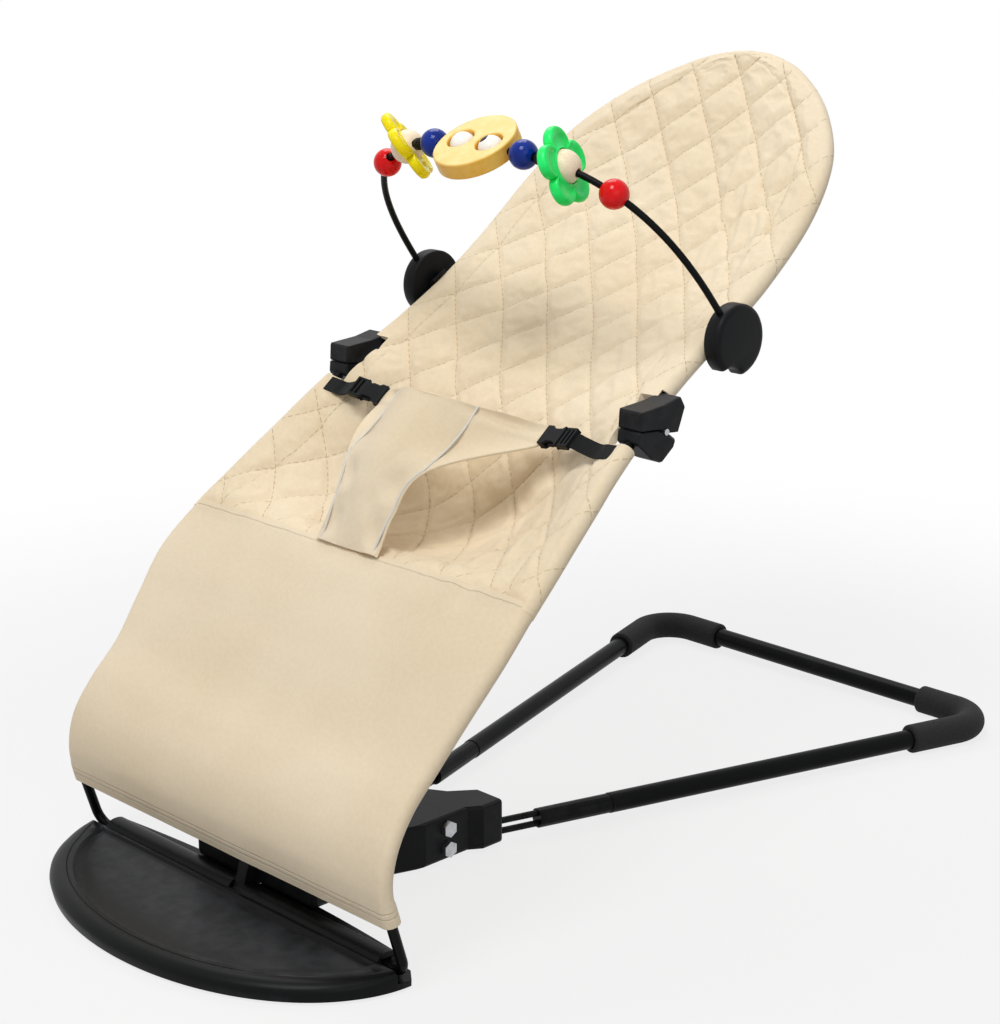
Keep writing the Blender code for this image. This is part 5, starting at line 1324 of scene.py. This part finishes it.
def makeSpacers():
    look = spacer
    half, bore, face, radius, edge = look["half"], look["bore"], look["face"], look["radius"], look["edge"]
    profile = [(bore, half), (face, half), (radius, half - edge),
               (radius, -half + edge), (face, -half), (bore, -half)]
    for name, side in bothSides:
        at = beadMatrix(side * look["x"], 2 * half)
        piece = turned(f"spacer_tube_{name}", profile, at, mouldedNylon, "toy_frame", 32)
        standsFor(piece, f"bar_spacer_{name}")


def makeBeads():
    look = beads
    for name, side in bothSides:
        for colour in ("red", "blue"):
            at = beadMatrix(side * look[colour + "X"], 2 * look["radius"])
            profile = beadProfile(look["radius"])
            bead = turned(f"{colour}_ball_{name}", profile, at, lacquer[colour], f"{colour}_{name}")
            standsFor(bead, f"{colour}_bead_{name}")


flower = dict(x=0.095, ball=0.0150, radius=0.0350, petals=5, lobe=0.34, lobeShape=0.6, thickness=0.0090,
              hole=0.0157, edgeRound=0.0028, sides=160,
              dish=((0.25, 1.0), (0.38, 0.72), (0.62, 0.55), (0.86, 0.66), (1.0, 0.9)))     # share in, height


def petalRadius(angle):
    lobe = abs(math.cos(flower["petals"] * angle / 2)) ** flower["lobeShape"]
    return flower["radius"] * (1 - flower["lobe"] * (1 - lobe))


def makeFlower(name, side, normal, finish):
    look = flower
    body = f"flower_{name}"
    matrix = beadMatrix(side * look["x"], 2 * look["ball"])
    ball = turned(f"wooden_ball_{name}", beadProfile(look["ball"]), matrix, beech, body, 56)
    standsFor(ball, f"flower_ball_{name}")
    at = placed(matrix.translation, Vector(normal), Vector((0, 0, 1)))
    half, edge, dish = look["thickness"] / 2, look["edgeRound"], look["dish"]
    profile = []            # inset from the petals' outline, share of the way to the hole, height
    for step in range(13):
        turn = math.pi * (step / 12 - 0.5)
        profile.append((edge * (1 - math.cos(turn)), 0.0, half * math.sin(turn)))
    profile += [(edge, share, half * rise) for share, rise in dish]
    profile += [(edge, share, -half * rise) for share, rise in reversed(dish)]
    turns = [math.tau * k / look["sides"] for k in range(look["sides"])]
    rings = []
    for inset, share, height in profile:
        ring = []
        for turn in turns:
            outer = petalRadius(turn) - inset
            radius = outer + (look["hole"] - outer) * share
            ring.append(at @ Vector((radius * math.cos(turn), radius * math.sin(turn), height)))
        rings.append(ring)
    petals = addPiece(f"petal_ring_{name}", *skin(rings, closed=True, caps=False), finish, body)
    keepSharp(petals, 55)
    standsFor(petals, f"flower_ring_{name}")


disc = dict(radius=0.0380, thickness=0.0150, lean=29.0, y=-0.05257, z=0.60918, holeX=0.0170, hole=0.0125,
            round=0.0016)

eye = dict(radius=0.0115, pupil=22.0, pupilRise=0.00012, pupilDepth=0.0004, pupilHole=0.0002,
           glance=dict(left=(-0.34, -0.1, 0), right=(-0.55, 0, 0)))         # off the disc's upright direction


def makeEye(name, side, normal):
    look = eye
    body = f"eye_{name}"
    at = beadMatrix(side * disc["holeX"], 2 * look["radius"])
    ball = turned(f"white_ball_{name}", beadProfile(look["radius"]), at, lacquer["white"], body)
    standsFor(ball, f"eye_ball_{name}")
    cap = placed(at.translation, Vector(look["glance"][name]) + side * normal, Vector((1, 0, 0)))
    radius, edge = look["radius"] + look["pupilRise"], math.radians(look["pupil"])
    profile = [(look["pupilHole"], radius)]
    for step in range(1, 9):
        profile.append((radius * math.sin(edge * step / 8), radius * math.cos(edge * step / 8)))
    radius -= look["pupilDepth"]
    profile += [(radius * math.sin(edge), radius * math.cos(edge)), (look["pupilHole"], radius)]
    pupil = turned(f"pupil_{name}", profile, cap, lacquer["black"], body, 40)


def makeDisc():
    look = disc
    lean = math.radians(look["lean"])
    normal = Vector((0, -math.sin(lean), math.cos(lean)))
    matrix = placed(Vector((0, look["y"], look["z"])), normal, Vector((1, 0, 0)))
    outlines = [circle(look["radius"], 96)]
    outlines += [[(x + side * look["holeX"], y) for x, y in circle(look["hole"], 48)] for side in (1, -1)]
    half = look["thickness"] / 2
    piece = slabPiece("disc_body", outlines, -half, half, matrix, lacquer["paintedShadeYellow"], "face", look["round"], 4)
    # The faces along the disc's axis take the pale yellow; the rim and hole walls keep its darker copy,
    # painted shade
    piece.data.materials.append(lacquer["yellow"])
    for face in piece.data.polygons:
        if abs(face.normal.dot(normal)) > 0.9:
            face.material_index = 1
    standsFor(piece, "face_disc")
    for name, side in bothSides:
        makeEye(name, side, normal)


# The plain solids that stay: finish and edge rounding, by the start of the name
keptNodes = dict(plate_pad=(foam, 0), centre_bracket=(mouldedNylon, 0.0008), hub_shell=(mouldedNylon, 0.0005),
                 hub_bolt=(zincSteel, 0), leg_rod=(powderCoat, 0), leg_sleeve=(powderCoat, 0.0004),
                 recline_sector=(powderCoat, 0.0002), connector_pin=(zincSteel, 0),
                 connector=(mouldedNylon, 0.0006), clamp_jaw=(mouldedNylon, 0.0003))


def finishKeptNodes():
    for name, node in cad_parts.items():
        kind = next((start for start in keptNodes if name.startswith(start)), None)
        if not kind:
            continue
        finish, edge = keptNodes[kind]
        node.data.materials.clear()
        node.data.materials.append(finish)
        if edge:
            easeEdges(node, 40, edge)


makePlate()
makeRidgeCovers()
makeWires()
for name, side in bothSides:
    makeTube(name, side)
    makeKnob(name, side)
makeBar()
makeSpacers()
makeBeads()
makeFlower("left", 1, normal=(0.904, 0.245, 0.345), finish=greenPlastic)
makeFlower("right", -1, normal=(0.602, 0.529, 0.596), finish=yellowPlastic)
makeDisc()
makeFlap()
for name, side in bothSides:
    makeStrap(name, side, makeBuckle(name, side))
print("frame, toys and harness ready")
finishKeptNodes()
